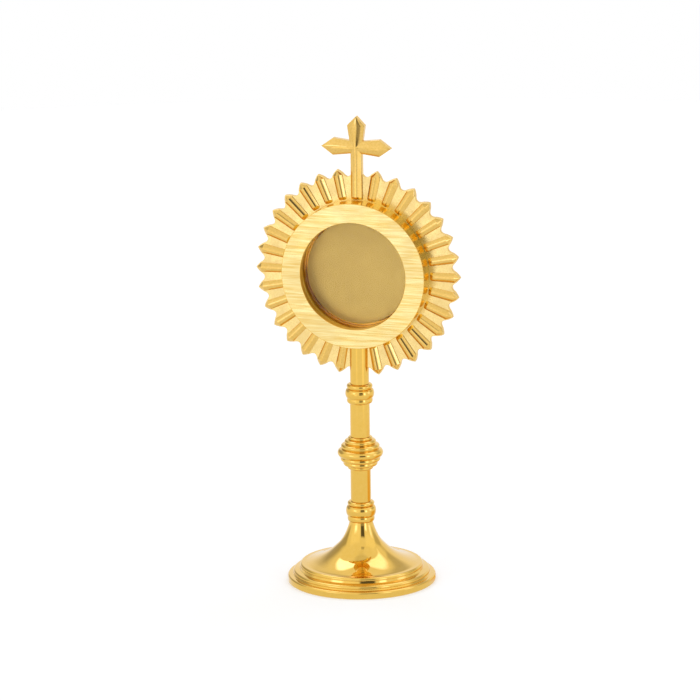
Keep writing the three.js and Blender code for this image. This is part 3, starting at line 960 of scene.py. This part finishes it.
@dataclass
class Sunburst:
    """One casting: a scalloped plate, 30 ridged rays and the cross on its shaft."""

    rays: int = 32
    pitch_steps: int = 16
    root: float = 31.01
    tip: float = 44.38
    shoulder: float = 42.6
    shoulder_share: float = 0.5
    tip_fullness: float = 1.2
    valley: float = 40.96
    ray_shoulder: float = 42.0
    ray_half: float = 2.0
    ray_tip: float = 43.85
    plate_front: float = -0.7
    plate_back: float = 1.1
    plate_edge: float = 0.13
    bed: float = -0.4
    eaves_share: float = 0.38
    ray_rise: float = 1.85
    low_rise: float = 0.42
    cross_front: float = -1.5
    cross_back: float = 1.08
    cross_bed: float = -1.2
    cross_rise: float = 1.7
    cross_eaves_share: float = 0.21
    ray_crown: float = 0.1
    ray_bow: float = 1.4
    cross_crown: float = 0.15
    cross_bow: float = 1.15
    bar_inset: float = 0.12
    bar_short: float = 0.2
    bar_point: float = 0.06
    waist: float = 2.4
    top_half: float = 3.8
    top_shoulder: float = 9.25
    top_tip: float = 13.15
    side_half: float = 3.6
    side_shoulder: float = 10.04
    side_tip: float = 15.04
    centre: Vector = field(default_factory=lambda: Vector((0, 0, CASE_Z * MM)))

    def rim(self, share: float) -> float:
        """Gives the plate's radius at a share of the way from a ray's middle to the next valley.

        Args:
            share: 0 at a ray's tip, 1 at the middle of the scallop.

        Returns:
            The radius, in millimetres.
        """
        if share <= self.shoulder_share:
            down = (share / self.shoulder_share) ** self.tip_fullness
            return self.tip - (self.tip - self.shoulder) * down
        left = (1 - share) / (1 - self.shoulder_share)
        return self.valley + (self.shoulder - self.valley) * left**2

    def plate(self) -> Piece:
        """Cuts the plate from a disc: pointed tips, hollow scallops and the hole for the drum."""
        front = self.plate_front * MM
        count = self.rays * self.pitch_steps
        upright = {"vertices": count, "location": (0, front, CASE_Z * MM), "rotation": (math.pi / 2, 0, 0)}
        middle = self.centre + Vector((0, front, 0))
        deselect()
        bpy.ops.mesh.primitive_circle_add(radius=self.valley * MM, **upright)
        piece = claim("sunburst_casting")
        pitch = math.tau / self.rays
        half_steps = self.pitch_steps // 2
        for step in range(half_steps + 1):
            share = step / half_steps

            def alike(place: Vector, _: Vector, share: float = share) -> bool:
                """True for the vertices at this share of the way from a tip to a valley."""
                turn = math.atan2(place.x, place.z - CASE_Z * MM) / pitch
                return abs(abs(turn - round(turn)) * 2 - share) < 0.01

            pick("VERT", alike)
            factor = self.rim(share) / self.valley
            bpy.ops.transform.resize(value=(factor,) * 3, center_override=middle)
        bpy.ops.mesh.primitive_circle_add(radius=self.root * MM, **upright)
        select_mesh()
        bpy.ops.mesh.bridge_edge_loops()
        select_mesh()
        extrude(Vector((0, (self.plate_back - self.plate_front) * MM, 0)))
        select_mesh()
        bpy.ops.mesh.normals_make_consistent(inside=False)

        def outer_edge(place: Vector, _: Vector) -> bool:
            """True for the edges along the plate's outline, at its front and back."""
            off_face = min(abs(place.y - front), abs(place.y - self.plate_back * MM))
            return (place - self.centre).length > (self.valley - 0.5) * MM and off_face < WELD

        pick("EDGE", outer_edge)
        ease_edges(self.plate_edge)
        close_mesh()
        return piece

    def section(self, eaves_share: float, crown: float, bow: float, facet_steps: int = 5) -> list[Point]:
        """Gives a ridged bar's section, one unit wide to each side and one unit high.

        Args:
            eaves_share: Height of the upright sides.
            crown: Half of the width that is left flat along the ridge.
            bow: How full the facets are. They are flat at 1.
            facet_steps: Segments of each facet.

        Returns:
            Its points, from the bed on the left round over the ridge.
        """
        left = []
        for step in range(facet_steps + 1):
            share = step / facet_steps
            height = eaves_share + (1 - eaves_share) * (1 - (1 - share) ** bow)
            left.append((-1 + (1 - crown) * share, height))
        right = [(-across, up) for across, up in reversed(left)]
        return [(-1, 0), *left, *right, (1, 0)]

    def ridged_bar(
        self, name: str, section: Sequence[Point], stations: Sequence[Station], bed: float
    ) -> Piece:
        """Draws a bar's first section and extrudes it upwards from station to station.

        Args:
            name: Name of the bar.
            section: Its section, one unit wide to each side and one unit high.
            stations: Its sections, from the case's middle outwards.
            bed: Depth of its flat underside.

        Returns:
            The bar, standing at 12 o'clock.
        """
        first = stations[0]
        outline = [
            Vector((across * first.half, bed - up * first.rise, CASE_Z + first.out)) * MM
            for across, up in section
        ]
        bar = draw(name, outline)
        select_mesh()
        bpy.ops.mesh.edge_face_add()
        for before, here in zip(stations, stations[1:]):
            extrude(Vector((0, 0, here.out - before.out)) * MM)
            bpy.ops.transform.resize(
                value=(here.half / before.half, here.rise / before.rise, 1),
                center_override=Vector((0, bed, CASE_Z + here.out)) * MM,
            )
        close_mesh()
        return bar

    def all_rays(self) -> Piece:
        """Models one ray, and copies it round the case except under the cross and over the stem."""
        stations = [
            Station(31.3, 1.7, self.low_rise),
            Station(32.7, 1.74, self.ray_rise - 0.12),
            Station(self.ray_shoulder, self.ray_half, self.ray_rise),
            Station(self.ray_tip, 0.3, self.low_rise),
        ]
        section = self.section(self.eaves_share, self.ray_crown, self.ray_bow)
        bar = self.ridged_bar("rays", section, stations, self.bed)
        reopen()
        pitch = math.tau / self.rays
        turn_about(pitch, self.centre)
        for ray in range(2, self.rays):
            if ray == self.rays // 2:
                continue
            turn = 2 * pitch if ray == self.rays // 2 + 1 else pitch
            bpy.ops.mesh.duplicate()
            turn_about(turn, self.centre)
        close_mesh()
        return bar

    def cross_outline(self) -> list[Corner]:
        """Gives the outline of the cross and its shaft, at the depth of its front edges."""
        top_flare = (self.top_half - self.waist) / self.top_shoulder
        side_flare = (self.side_half - self.waist) / self.side_shoulder
        inner_x = self.waist * (1 + top_flare) / (1 - top_flare * side_flare)
        inner_z = self.waist + side_flare * inner_x
        right = [
            (self.waist, self.root + 0.3 - (CROSS_Z - CASE_Z)),
            (self.waist, -self.waist * (1 + side_flare)),
            (self.side_shoulder, -self.side_half),
            (self.side_tip, 0),
            (self.side_shoulder, self.side_half),
            (inner_x, inner_z),
            (self.top_half, self.top_shoulder),
            (0, self.top_tip),
        ]
        left = [(-x, z) for x, z in reversed(right[:-1])]
        return [(x, self.cross_front, CROSS_Z + z) for x, z in [*right, *left]]

    def cross(self) -> Piece:
        """Models the cross: a flat slab with a ridged bar up its shaft and one across its arms."""
        depth = (0, self.cross_back - self.cross_front, 0)
        slab_piece = slab("cross", self.cross_outline(), depth)
        bpy.ops.object.mode_set(mode="EDIT")
        front = self.cross_front * MM
        back = self.cross_back * MM
        pick("EDGE", lambda place, _: min(abs(place.y - front), abs(place.y - back)) < WELD)
        ease_edges(self.plate_edge)
        close_mesh()
        crossing = CROSS_Z - CASE_Z
        section = self.section(self.cross_eaves_share, self.cross_crown, self.cross_bow)
        narrow, short, point = self.waist - self.bar_inset, self.bar_short, self.bar_point
        top, side = self.top_half - self.bar_inset, self.side_half - self.bar_inset
        low, high = self.low_rise, self.cross_rise
        shaft = [
            Station(31.4, narrow, low),
            Station(32.6, narrow, high),
            Station(crossing, narrow, high),
            Station(crossing + self.top_shoulder - short, top, high),
            Station(crossing + self.top_tip - short, point, low),
        ]
        arms = [
            Station(crossing - self.side_tip + short, point, low),
            Station(crossing - self.side_shoulder + short, side, high),
            Station(crossing, narrow, high),
            Station(crossing + self.side_shoulder - short, side, high),
            Station(crossing + self.side_tip - short, point, low),
        ]
        upright = self.ridged_bar("upright", section, shaft, self.cross_bed)
        level = self.ridged_bar("level", section, arms, self.cross_bed)
        reopen()
        turn_about(math.pi / 2, Vector((0, 0, CROSS_Z * MM)))
        close_mesh()
        combine(slab_piece, "UNION", upright, level)
        return slab_piece

    def build(self, workshop: Workshop) -> None:
        """Builds and dresses the sunburst."""
        piece = self.plate()
        combine(piece, "UNION", self.all_rays(), self.cross())
        smooth(piece, 26)
        workshop.dress(piece, "sunburst", Body.STAND, Slot.POLISHED, BUFFED_GILT)
        front = self.plate_front * MM
        back = self.plate_back * MM

        def cast(middle: Vector, normal: Vector) -> bool:
            """True for the flat valleys between the rays and for the casting's back."""
            valley = abs(middle.y - front) < 0.01 * MM and normal.y < -0.99
            behind = abs(middle.y - back) < 0.03 * MM and normal.y > 0.99
            return valley or behind

        # Painted sheen: the valleys and the back take the cast finish, whose pale colour stands in for
        # bright mirrored light
        workshop.dress_part(piece, CAST_GILT_PAINTED_SHEEN, cast)


@dataclass
class RelicCase:
    """Round case: drum, front ring, glazing, chamber and rear ring."""

    radius: float = 31.0
    wall: float = 1.2
    window: float = 22.8
    face: float = -8.6
    lip_back: float = -5.3
    glass_radius: float = 25.36
    glass_back: float = -3.92
    seal_back: float = -3.32
    chamber: float = 23.4
    sleeve: float = 24.4
    back: float = 1.1
    ring_radius: float = 33.5
    ring_back: float = 2.3
    seam: float = 0.01

    def ring(self, name: str, corners: Sequence[Corner]) -> Piece:
        """Turns a ring about the case's axis from its eased corners."""
        return turned_eased(name, corners, CASE_AXIS, LARGE_TURN)

    def bezel(self) -> Piece:
        """Turns the flat front ring, with its lip turned in to the glass."""
        face_back = self.face + self.wall - self.seam
        lip = self.window + self.wall
        corners = [
            (self.radius, self.face, 0.22), (self.radius, face_back, 0.02), (lip, face_back, 0.1),
            (lip, self.lip_back, 0.1), (self.window, self.lip_back, 0.15), (self.window, self.face, 0.22),
        ]
        return self.ring("bezel_ring", corners)

    def drum(self) -> Piece:
        """Turns the drum's wall."""
        front = self.face + self.wall + self.seam
        inner = self.radius - self.wall
        outside = [(self.radius, front, 0.02), (self.radius, self.back, 0.05)]
        return self.ring("drum_band", [*outside, (inner, self.back, 0.05), (inner, front, 0.05)])

    def glass(self) -> Piece:
        """Turns the window's glass disc, with ground edges."""
        front = self.lip_back + SEAT_GAP
        radius, back = self.glass_radius, self.glass_back
        corners = [(0, front, 0), (radius, front, 0.12), (radius, back, 0.12), (0, back, 0)]
        return turned_eased("window_pane", corners, CASE_AXIS, LARGE_TURN, ring=False)

    def seal(self) -> Piece:
        """Turns the flat seal behind the glass."""
        front = self.glass_back + SEAT_GAP
        corners = band(self.glass_radius, self.chamber, front, self.seal_back, 0.15, 0.15)
        return self.ring("pane_seal", corners)

    def chamber_sleeve(self) -> Piece:
        """Turns the chamber's inner wall."""
        front = self.seal_back + SEAT_GAP
        outside = [(self.sleeve, front, 0.1), (self.sleeve, self.back, 0.05)]
        inside = [(self.chamber, self.back, 0.1), (self.chamber, front, 0.15)]
        return self.ring("sleeve_ring", [*outside, *inside])

    def rear_ring(self) -> Piece:
        """Turns the ring round the door's opening, with a raised fillet at its outer edge."""
        front = self.back + SEAT_GAP
        back = self.ring_back
        groove = back - 0.2
        corners = [
            (self.ring_radius, front, 0.15), (self.ring_radius, back, 0.4), (32.1, back, 0.1),
            (31.9, groove, 0.08), (31.3, groove, 0.08), (31.1, back, 0.1),
            (self.chamber, back, 0.25), (self.chamber, front, 0.15),
        ]
        return self.ring("back_ring", corners)

    def build(self, workshop: Workshop) -> None:
        """Builds and dresses the case from the front back."""
        bezel = self.bezel()
        workshop.dress(bezel, "front_bezel", Body.STAND, Slot.BRUSHED, POLISHED_GILT)
        face = self.face * MM
        flat = (self.window + 0.1) * MM, (self.radius - 0.1) * MM

        def brushed(middle: Vector, normal: Vector) -> bool:
            """True for the ring's flat face."""
            radius = (middle - Vector((0, middle.y, CASE_Z * MM))).length
            return abs(middle.y - face) < WELD and flat[0] < radius < flat[1]

        # The ring's flat face takes the brushed finish, whose pale colour is partly painted sheen
        workshop.dress_part(bezel, BRUSHED_GILT_PAINTED_SHEEN, brushed)
        workshop.dress(self.drum(), "drum_wall", Body.STAND, Slot.POLISHED, DRAWN_GILT)
        workshop.dress(self.glass(), "window_glass", Body.STAND, Slot.GLASS, FloatGlass())
        workshop.dress(self.seal(), "glass_seal", Body.STAND, Slot.SEAL, MouldedRubber())
        workshop.dress(self.chamber_sleeve(), "chamber_sleeve", Body.STAND, Slot.SATIN, DRAWN_GILT)
        workshop.dress(self.rear_ring(), "rear_ring", Body.STAND, Slot.POLISHED, TURNED_GILT)


@dataclass
class BackDoor:
    """Back door with the relic plate on its inside, its pull and its hinge."""

    radius: float = 27.5
    front: float = 2.6
    back: float = 3.8
    plate_radius: float = 22.4
    plate_front: float = 0.9
    hinge_x: float = 29.3
    ring_back: float = 2.3
    leaf: float = 0.8
    knuckle_radius: float = 1.5
    knuckle_length: float = 4.0
    knuckle_step: float = 4.3
    pin_radius: float = 0.7
    half_length: float = 6.3

    def disc(self) -> Piece:
        """Turns the door, with two shallow grooves in its back."""
        back = self.back
        low = self.back - 0.25
        corners = [
            (0, self.front, 0), (self.radius, self.front, 0.15), (self.radius, back, 0.35),
            (18.2, back, 0.1), (18.0, low, 0.08), (17.2, low, 0.08), (17.0, back, 0.1),
            (9.2, back, 0.1), (9.0, low, 0.08), (8.4, low, 0.08), (8.2, back, 0.1), (0, back, 0),
        ]
        return turned_eased("door_disc", corners, CASE_AXIS, LARGE_TURN, ring=False)

    def relic_plate(self) -> Piece:
        """Turns the satin plate that closes the chamber's back."""
        radius, front, back = self.plate_radius, self.plate_front, self.front - PRESS_GAP
        corners = [(0, front, 0), (radius, front, 0.25), (radius, back, 0.1), (0, back, 0)]
        return turned_eased("plate_satin", corners, CASE_AXIS, LARGE_TURN, ring=False)

    def pull(self) -> Piece:
        """Turns the round pull."""
        base = self.back
        neck = [(1.6, 0.12), (1.3, 0.28), (1.02, 0.6), (0.92, 0.95), (0.98, 1.3)]
        foot = flowing([(radius, base + height) for radius, height in neck])
        head = arc((1.2, base + 2.1), 0.8, -62, 80, 12)
        outline = [(0, base), (1.6, base), *foot, *head, (0.7, base + 2.97), (0, base + 3.0)]
        return turned("pull_knob", outline, PULL_AXIS, SMALL_TURN, ring=False)

    def knuckle(self, height: float) -> Piece:
        """Turns one knuckle of the hinge.

        Args:
            height: Height of its middle above the case's middle.

        Returns:
            The knuckle, bored for the pin.
        """
        half = self.knuckle_length / 2
        outer = self.knuckle_radius
        bore = self.pin_radius + 0.05
        corners = band(outer, bore, height - half, height + half, 0.15, 0.05)
        return turned_eased("knuckle", corners, PIN_AXIS, SMALL_TURN)

    def case_leaf(self) -> Piece:
        """Cuts the case's leaf, notched for the door's knuckle, and joins its two knuckles."""
        inner = self.hinge_x - 1.2
        outer = self.hinge_x + 3.2
        notch = self.hinge_x + self.knuckle_radius + 0.3
        low = self.ring_back + PRESS_GAP
        high = self.ring_back + self.leaf
        half = self.half_length
        gap = self.knuckle_length / 2 + 0.3
        outline = [
            (inner, -half), (outer, -half), (outer, half), (inner, half),
            (inner, gap), (notch, gap), (notch, -gap), (inner, -gap),
        ]
        leaf = slab("leaf", [(x, low, CASE_Z + z) for x, z in outline], (0, high - low, 0), 0.12)
        knuckles = [self.knuckle(-self.knuckle_step), self.knuckle(self.knuckle_step)]
        piece = merge_pieces("hinge_leaf_case", [leaf, *knuckles])
        self.bore(piece)
        return piece

    def door_leaf(self) -> Piece:
        """Cuts the door's leaf, narrowed to its one knuckle, and joins the knuckle."""
        inner = self.hinge_x - 7.8
        outer = self.hinge_x - 2.3
        half = self.half_length
        tongue = self.knuckle_length / 2
        low = self.back + PRESS_GAP
        outline = [
            (inner, -half), (outer, -half), (outer, -tongue), (self.hinge_x, -tongue),
            (self.hinge_x, tongue), (outer, tongue), (outer, half), (inner, half),
        ]
        leaf = slab("leaf", [(x, low, CASE_Z + z) for x, z in outline], (0, self.leaf - PRESS_GAP, 0), 0.12)
        piece = merge_pieces("hinge_leaf_door", [leaf, self.knuckle(0)])
        self.bore(piece)
        return piece

    def bore(self, piece: Piece) -> None:
        """Bores a hinge leaf for the pin, and shades it."""
        reach = 3 * self.knuckle_step
        radius = self.pin_radius + 0.05
        outline = [(0, -reach), (radius, -reach), (radius, reach), (0, reach)]
        combine(piece, "DIFFERENCE", turned("drill", outline, PIN_AXIS, SMALL_TURN, ring=False))
        smooth(piece)

    def pin(self) -> Piece:
        """Turns the headed hinge pin."""
        end = self.half_length + 0.4
        head = self.half_length + 0.2
        corners = [
            (0, -end, 0), (self.pin_radius, -end, 0.2), (self.pin_radius, head, 0), (1.3, head, 0.1),
            (1.3, head + 0.6, 0.35), (0.5, head + 0.9, 0.2), (0, head + 0.9, 0),
        ]
        return turned_eased("pin_headed", corners, PIN_AXIS, SMALL_TURN, ring=False)

    def build(self, workshop: Workshop) -> None:
        """Builds and dresses the door and its hinge."""
        workshop.dress(self.case_leaf(), "case_hinge_leaf", Body.STAND, Slot.POLISHED, POLISHED_GILT)
        workshop.dress(self.pin(), "hinge_pin", Body.STAND, Slot.BRASS, TURNED_BRASS)
        workshop.dress(self.door_leaf(), "door_hinge_leaf", Body.DOOR, Slot.POLISHED, POLISHED_GILT)
        workshop.dress(self.disc(), "back_door", Body.DOOR, Slot.POLISHED, TURNED_GILT)
        workshop.dress(self.relic_plate(), "relic_plate", Body.DOOR, Slot.SATIN, SATIN_GILT)
        workshop.dress(self.pull(), "door_pull", Body.DOOR, Slot.POLISHED, POLISHED_GILT)


@dataclass
class TurnButton:
    """Short bar that turns on a screw to hold the door shut."""

    bar_low: float = 4.1
    bar_high: float = 5.1
    half: float = 1.3
    reach: float = 5.5
    tail: float = 1.6
    boss: float = 1.9
    boss_low: float = 2.6
    shank: float = 0.85
    screw_low: float = 2.3
    head: float = 1.7
    head_low: float = 5.4
    head_high: float = 6.4

    def bar(self) -> Piece:
        """Cuts the round-ended bar and joins its boss."""
        centre_x = BUTTON_AXIS.centre[0]
        upper = arc((0, self.reach - self.half), self.half, 0, 180, 16)
        lower = arc((0, -self.tail), self.half, 180, 360, 16)
        outline = [(centre_x + x, self.bar_low, CASE_Z + z) for x, z in upper + lower]
        bar = slab("bar", outline, (0, self.bar_high - self.bar_low, 0), 0.18)
        middle = (self.bar_low + self.bar_high) / 2
        low = self.boss_low
        corners = [(0, low, 0), (self.boss, low, 0.15), (self.boss, middle, 0.1), (0, middle, 0)]
        boss = turned_eased("boss", corners, BUTTON_AXIS, SMALL_TURN, ring=False)
        clear = self.shank + 0.05
        bore = [(0, 0), (clear, 0), (clear, 9), (0, 9)]
        drill = turned("drill", bore, BUTTON_AXIS, SMALL_TURN, ring=False)
        piece = merge_pieces("button_bar", [bar, boss])
        combine(piece, "DIFFERENCE", drill)
        smooth(piece)
        return piece

    def screw(self) -> Piece:
        """Turns the screw and cuts the slot in its head."""
        corners = [
            (0, self.screw_low, 0), (self.shank, self.screw_low, 0), (self.shank, self.head_low, 0),
            (self.head, self.head_low, 0.08), (self.head, self.head_low + 0.5, 0.15),
            (1.1, self.head_high - 0.08, 0.6), (0, self.head_high, 0),
        ]
        screw = turned_eased("screw_slotted", corners, BUTTON_AXIS, SMALL_TURN, ring=False)
        x = BUTTON_AXIS.centre[0]
        lowest = (x - 3, self.head_high - 0.5, CASE_Z - 0.22)
        highest = (x + 3, self.head_high + 1, CASE_Z + 0.22)
        combine(screw, "DIFFERENCE", block("slot", lowest, highest))
        smooth(screw)
        return screw

    def build(self, workshop: Workshop) -> None:
        """Builds and dresses the turn button and its screw."""
        workshop.dress(self.bar(), "turn_button", Body.LATCH, Slot.POLISHED, POLISHED_GILT)
        workshop.dress(self.screw(), "button_screw", Body.STAND, Slot.BRASS, TURNED_BRASS)


# Studio


@dataclass(frozen=True)
class Patch:
    """Part of the studio that metal mirrors.

    Attributes:
        left: Least turn from the object's front towards its right, in degrees.
        right: Greatest turn.
        low: Least angle above the level.
        high: Greatest angle above the level.
        soft: Width of its soft edge.
        light: How bright it is, where 1 is white.
        colour: Its colour. The strong boxes are as cool as daylight, which makes cream highlights on gold.
    """

    left: float
    right: float
    low: float
    high: float
    soft: float
    light: float
    colour: str = "#FFFFFF"


@dataclass(frozen=True)
class Sector:
    """Part of the floor with painted light or painted shade, seen only where metal mirrors it.

    Attributes:
        turn: Its middle, turned from the object's front towards its right, in degrees.
        half: Half of its width, in degrees.
        clear: Distance from the stem at which it has faded away, in millimetres.
        full: Distance at which it is full.
        colour: Its colour.
        light: How bright it is, where 1 is white.
    """

    turn: float
    half: float
    clear: float
    full: float
    colour: str
    light: float


@dataclass
class Studio:
    """Camera, pale floor and soft surrounding light."""

    turn: float = 16.74
    tilt: float = 14.22
    roll: float = 0.69
    distance: float = 2400.0
    lens: float = 294.53
    sideways: float = -3.86
    aim: float = 99.83
    floor_radius: float = 1000.0
    floor_seen: float = 0.335
    floor_colour: str = "#D8D7CD"
    # Level of the painted shade on the mirrored floor close to the object, rising to floor_far farther off
    floor_painted_shade: float = 0.92
    floor_far: float = 1.0
    near_distance: float = 35.0
    far_distance: float = 250.0
    sector_core: float = 0.3
    painted_floor_sectors: tuple[Sector, ...] = (
        # Painted pools of light on the floor in front to the left, and to the right
        Sector(-17, 14, 220, 640, "#FFFFFF", 1.45),
        Sector(60, 16, 220, 400, "#FFFFFF", 1.25),
        # Painted amber light on the floor close behind at the right, as the gold's own light would tint it
        Sector(122, 34, 300, 130, "#F3C662", 1.0),
        # Painted dark patches on the floor farther off on the camera's side, mirrored as dark streaks
        Sector(27, 18, 620, 690, "#FFFFFF", 0.1),
        Sector(22, 14, 490, 560, "#FFFFFF", 0.12),
    )
    walls: float = 1.0
    patches: tuple[Patch, ...] = (
        # Ceiling, then the broad soft boxes at the front left and at the right
        Patch(-200, 200, 78, 100, 4, 0.8),
        Patch(-62, 4, -10, 46, 8, 1.12),
        Patch(48, 112, 24, 58, 8, 1.12),
        # Dimmer walls at the sides and behind, mirrored darker near the edges of round pieces
        Patch(-145, -88, 2, 36, 9, 0.48),
        Patch(114, 148, 8, 34, 7, 0.62),
        Patch(150, 200, 28, 43, 5, 0.62),
        Patch(-200, -152, 28, 43, 5, 0.62),
        # Strong boxes high behind to both sides, mirrored where a surface faces up
        Patch(-146, -110, 50, 76, 3, 4.0, "#C4CAFF"),
        Patch(124, 178, 50, 76, 4, 2.8, "#CCD2FF"),
        # The dark camera and its stand, with the dim room above it
        Patch(14, 42, 62, 74, 3, 0.6),
        Patch(12, 43, -90, 12, 4, 0.4),
        Patch(13, 42, 9, 34, 3, 0.12),
        # Narrow strong boxes near the level, mirrored as thin highlights in upright tubes
        Patch(50, 63, -10, 21, 3, 3.4, "#CCD2FF"),
        Patch(88, 104, 3, 24, 4, 2.4, "#CCD2FF"),
        Patch(-42, -20, 5, 22, 4, 3.0, "#CCD2FF"),
    )

    def camera(self) -> None:
        """Sets the camera where the photograph was taken from."""
        scene = bpy.context.scene
        scene.view_settings.view_transform = "Standard"
        data = bpy.data.cameras.new("photo_camera")
        data.sensor_width = 36.0
        data.lens = self.lens
        data.clip_end = 20.0
        turn, tilt, roll = (math.radians(a) for a in (self.turn, self.tilt, self.roll))
        back = Vector((math.sin(turn) * math.cos(tilt), -math.cos(turn) * math.cos(tilt), math.sin(tilt)))
        right = Vector((math.cos(turn), math.sin(turn), 0))
        up = back.cross(right)
        level = right * math.cos(roll) - up * math.sin(roll)
        above = right * math.sin(roll) + up * math.cos(roll)
        camera = bpy.data.objects.new("photo_camera", data)
        scene.collection.objects.link(camera)
        matrix = Matrix((level, above, back)).transposed().to_4x4()
        target = Vector((0, 0, self.aim)) + right * self.sideways
        matrix.translation = (target + back * self.distance) * MM
        camera.matrix_world = matrix
        scene.camera = camera

    def floor(self) -> None:
        """Lays the pale floor. Seen directly it is white and keeps the object's shadow; mirrored, it glows
        with painted light, with a painted shade close to the object.
        """
        deselect()
        bpy.ops.mesh.primitive_circle_add(
            vertices=96, radius=self.floor_radius * MM, fill_type="NGON", location=(0, 0, -0.05 * MM)
        )
        floor = bpy.context.object
        floor.name = floor.data.name = "floor"
        bpy.ops.object.transform_apply(location=True, rotation=True, scale=True)
        material, tree = new_material("pale_floor")
        node = partial(add_node, tree)
        path = node("LightPath").outputs
        seen = node("Math", {0: path["Is Camera Ray"], 1: self.floor_seen}, operation="MULTIPLY")
        light = node("Emission", {"Color": (1, 1, 1, 1), "Strength": seen.outputs[0]})
        matt = node("BsdfDiffuse", {"Color": linear(self.floor_colour)})
        both = node("AddShader", {0: light.outputs[0], 1: matt.outputs[0]})
        rays = {0: path["Is Glossy Ray"], 1: path["Is Transmission Ray"]}
        other = node("Math", rays, operation="MAXIMUM")
        # Painted light: mirrored, the floor glows by itself at a painted level, with painted sectors,
        # instead of being lit by the lamps
        mirrored = node("Emission", {"Color": self.mirrored_floor_painted_light(tree), "Strength": 1.0})
        shown = node("MixShader", {0: other.outputs[0], 1: both.outputs[0], 2: mirrored.outputs[0]})
        node("OutputMaterial", {"Surface": shown.outputs[0]})
        floor.data.materials.append(material)

    def mirrored_floor_painted_light(self, tree: Tree) -> Socket:
        """Adds the floor's painted light as metal mirrors it: a painted shade close to the object, and the
        painted sectors.

        Args:
            tree: Tree of the floor's material.

        Returns:
            The colour of the light.
        """
        node = partial(add_node, tree)
        place = node("TexCoord").outputs["Object"]
        away = node("VectorMath", {0: place}, operation="LENGTH").outputs["Value"]
        # Painted shade: the mirrored floor is darker close to the object and full farther off
        reached = {"From Min": self.near_distance * MM, "From Max": self.far_distance * MM}
        lit = {"To Min": self.floor_painted_shade, "To Max": self.floor_far}
        level = node("MapRange", {"Value": away, **reached, **lit})
        light = node("CombineXYZ", {axis: level.outputs[0] for axis in "XYZ"}).outputs[0]
        for sector in self.painted_floor_sectors:
            angle = math.radians(sector.turn)
            out = Vector((math.sin(angle), -math.cos(angle), 0))
            along = node("VectorMath", {0: place, 1: out}, operation="DOT_PRODUCT").outputs["Value"]
            cosine = node("Math", {0: along, 1: away}, operation="DIVIDE").outputs[0]
            turn = node("Math", {0: cosine}, operation="ARCCOSINE").outputs[0]
            edge, core = math.radians(sector.half), math.radians(sector.half * self.sector_core)
            width = {"Value": turn, "From Min": edge, "From Max": core}
            beside = node("MapRange", width, interpolation_type="SMOOTHSTEP")
            length = {"Value": away, "From Min": sector.clear * MM, "From Max": sector.full * MM}
            reach = node("MapRange", length, interpolation_type="SMOOTHSTEP")
            mask = node("Math", {0: beside.outputs[0], 1: reach.outputs[0]}, operation="MULTIPLY")
            colour = tuple(part * sector.light for part in linear(sector.colour))
            light = node("Mix", {0: mask.outputs[0], 6: light, 7: colour}, data_type="RGBA").outputs[2]
        return light

    def patch_mask(self, tree: Tree, patch: Patch, turn: Socket, tilt: Socket) -> Socket:
        """Adds a mask that is 1 inside a patch and fades over its edge.

        Args:
            tree: The world's tree.
            patch: The patch.
            turn: Direction's turn from the front, in degrees.
            tilt: Direction's angle above the level, in degrees.

        Returns:
            The mask.
        """
        sides = [
            (turn, patch.left - patch.soft, patch.left + patch.soft),
            (turn, patch.right + patch.soft, patch.right - patch.soft),
            (tilt, patch.low - patch.soft, patch.low + patch.soft),
            (tilt, patch.high + patch.soft, patch.high - patch.soft),
        ]
        node = partial(add_node, tree)
        mask = None
        for value, outside, inside in sides:
            limits = {"Value": value, "From Min": outside, "From Max": inside}
            side = node("MapRange", limits, interpolation_type="SMOOTHSTEP").outputs[0]
            both = {0: mask, 1: side}
            mask = side if mask is None else node("Math", both, operation="MULTIPLY").outputs[0]
        return mask

    def surroundings(self) -> None:
        """Surrounds the object with a pale studio that the camera sees as plain white."""
        world = bpy.data.worlds.new("pale_studio")
        bpy.context.scene.world = world
        world.use_nodes = True
        tree = world.node_tree
        tree.nodes.clear()
        node = partial(add_node, tree)
        direction = node("SeparateXYZ", {0: node("TexCoord").outputs["Generated"]}).outputs
        front = node("Math", {0: direction["Y"], 1: -1.0}, operation="MULTIPLY").outputs[0]
        angle = node("Math", {0: direction["X"], 1: front}, operation="ARCTAN2").outputs[0]
        turn = node("Math", {0: angle}, operation="DEGREES").outputs[0]
        rise = node("Math", {0: direction["Z"]}, operation="ARCSINE").outputs[0]
        tilt = node("Math", {0: rise}, operation="DEGREES").outputs[0]
        light: object = (self.walls, self.walls, self.walls, 1.0)
        for patch in self.patches:
            mask = self.patch_mask(tree, patch, turn, tilt)
            colour = tuple(part * patch.light for part in linear(patch.colour))
            light = node("Mix", {0: mask, 6: light, 7: colour}, data_type="RGBA").outputs[2]
        path = node("LightPath").outputs
        white = (1.0, 1.0, 1.0, 1.0)
        shown = node("Mix", {0: path["Is Camera Ray"], 6: light, 7: white}, data_type="RGBA")
        background = node("Background", {"Color": shown.outputs[2], "Strength": 1.0})
        node("OutputWorld", {"Surface": background.outputs[0]})

    def build(self) -> None:
        """Sets up the camera, the floor and the light."""
        self.camera()
        self.floor()
        self.surroundings()


def main() -> None:
    """Builds the whole scene round the frame."""
    logging.basicConfig(level=logging.INFO, format="%(message)s")
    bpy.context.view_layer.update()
    workshop = Workshop()
    Stem().build(workshop)
    Sunburst().build(workshop)
    RelicCase().build(workshop)
    BackDoor().build(workshop)
    TurnButton().build(workshop)
    Studio().build()


if __name__ == "__main__":
    main()
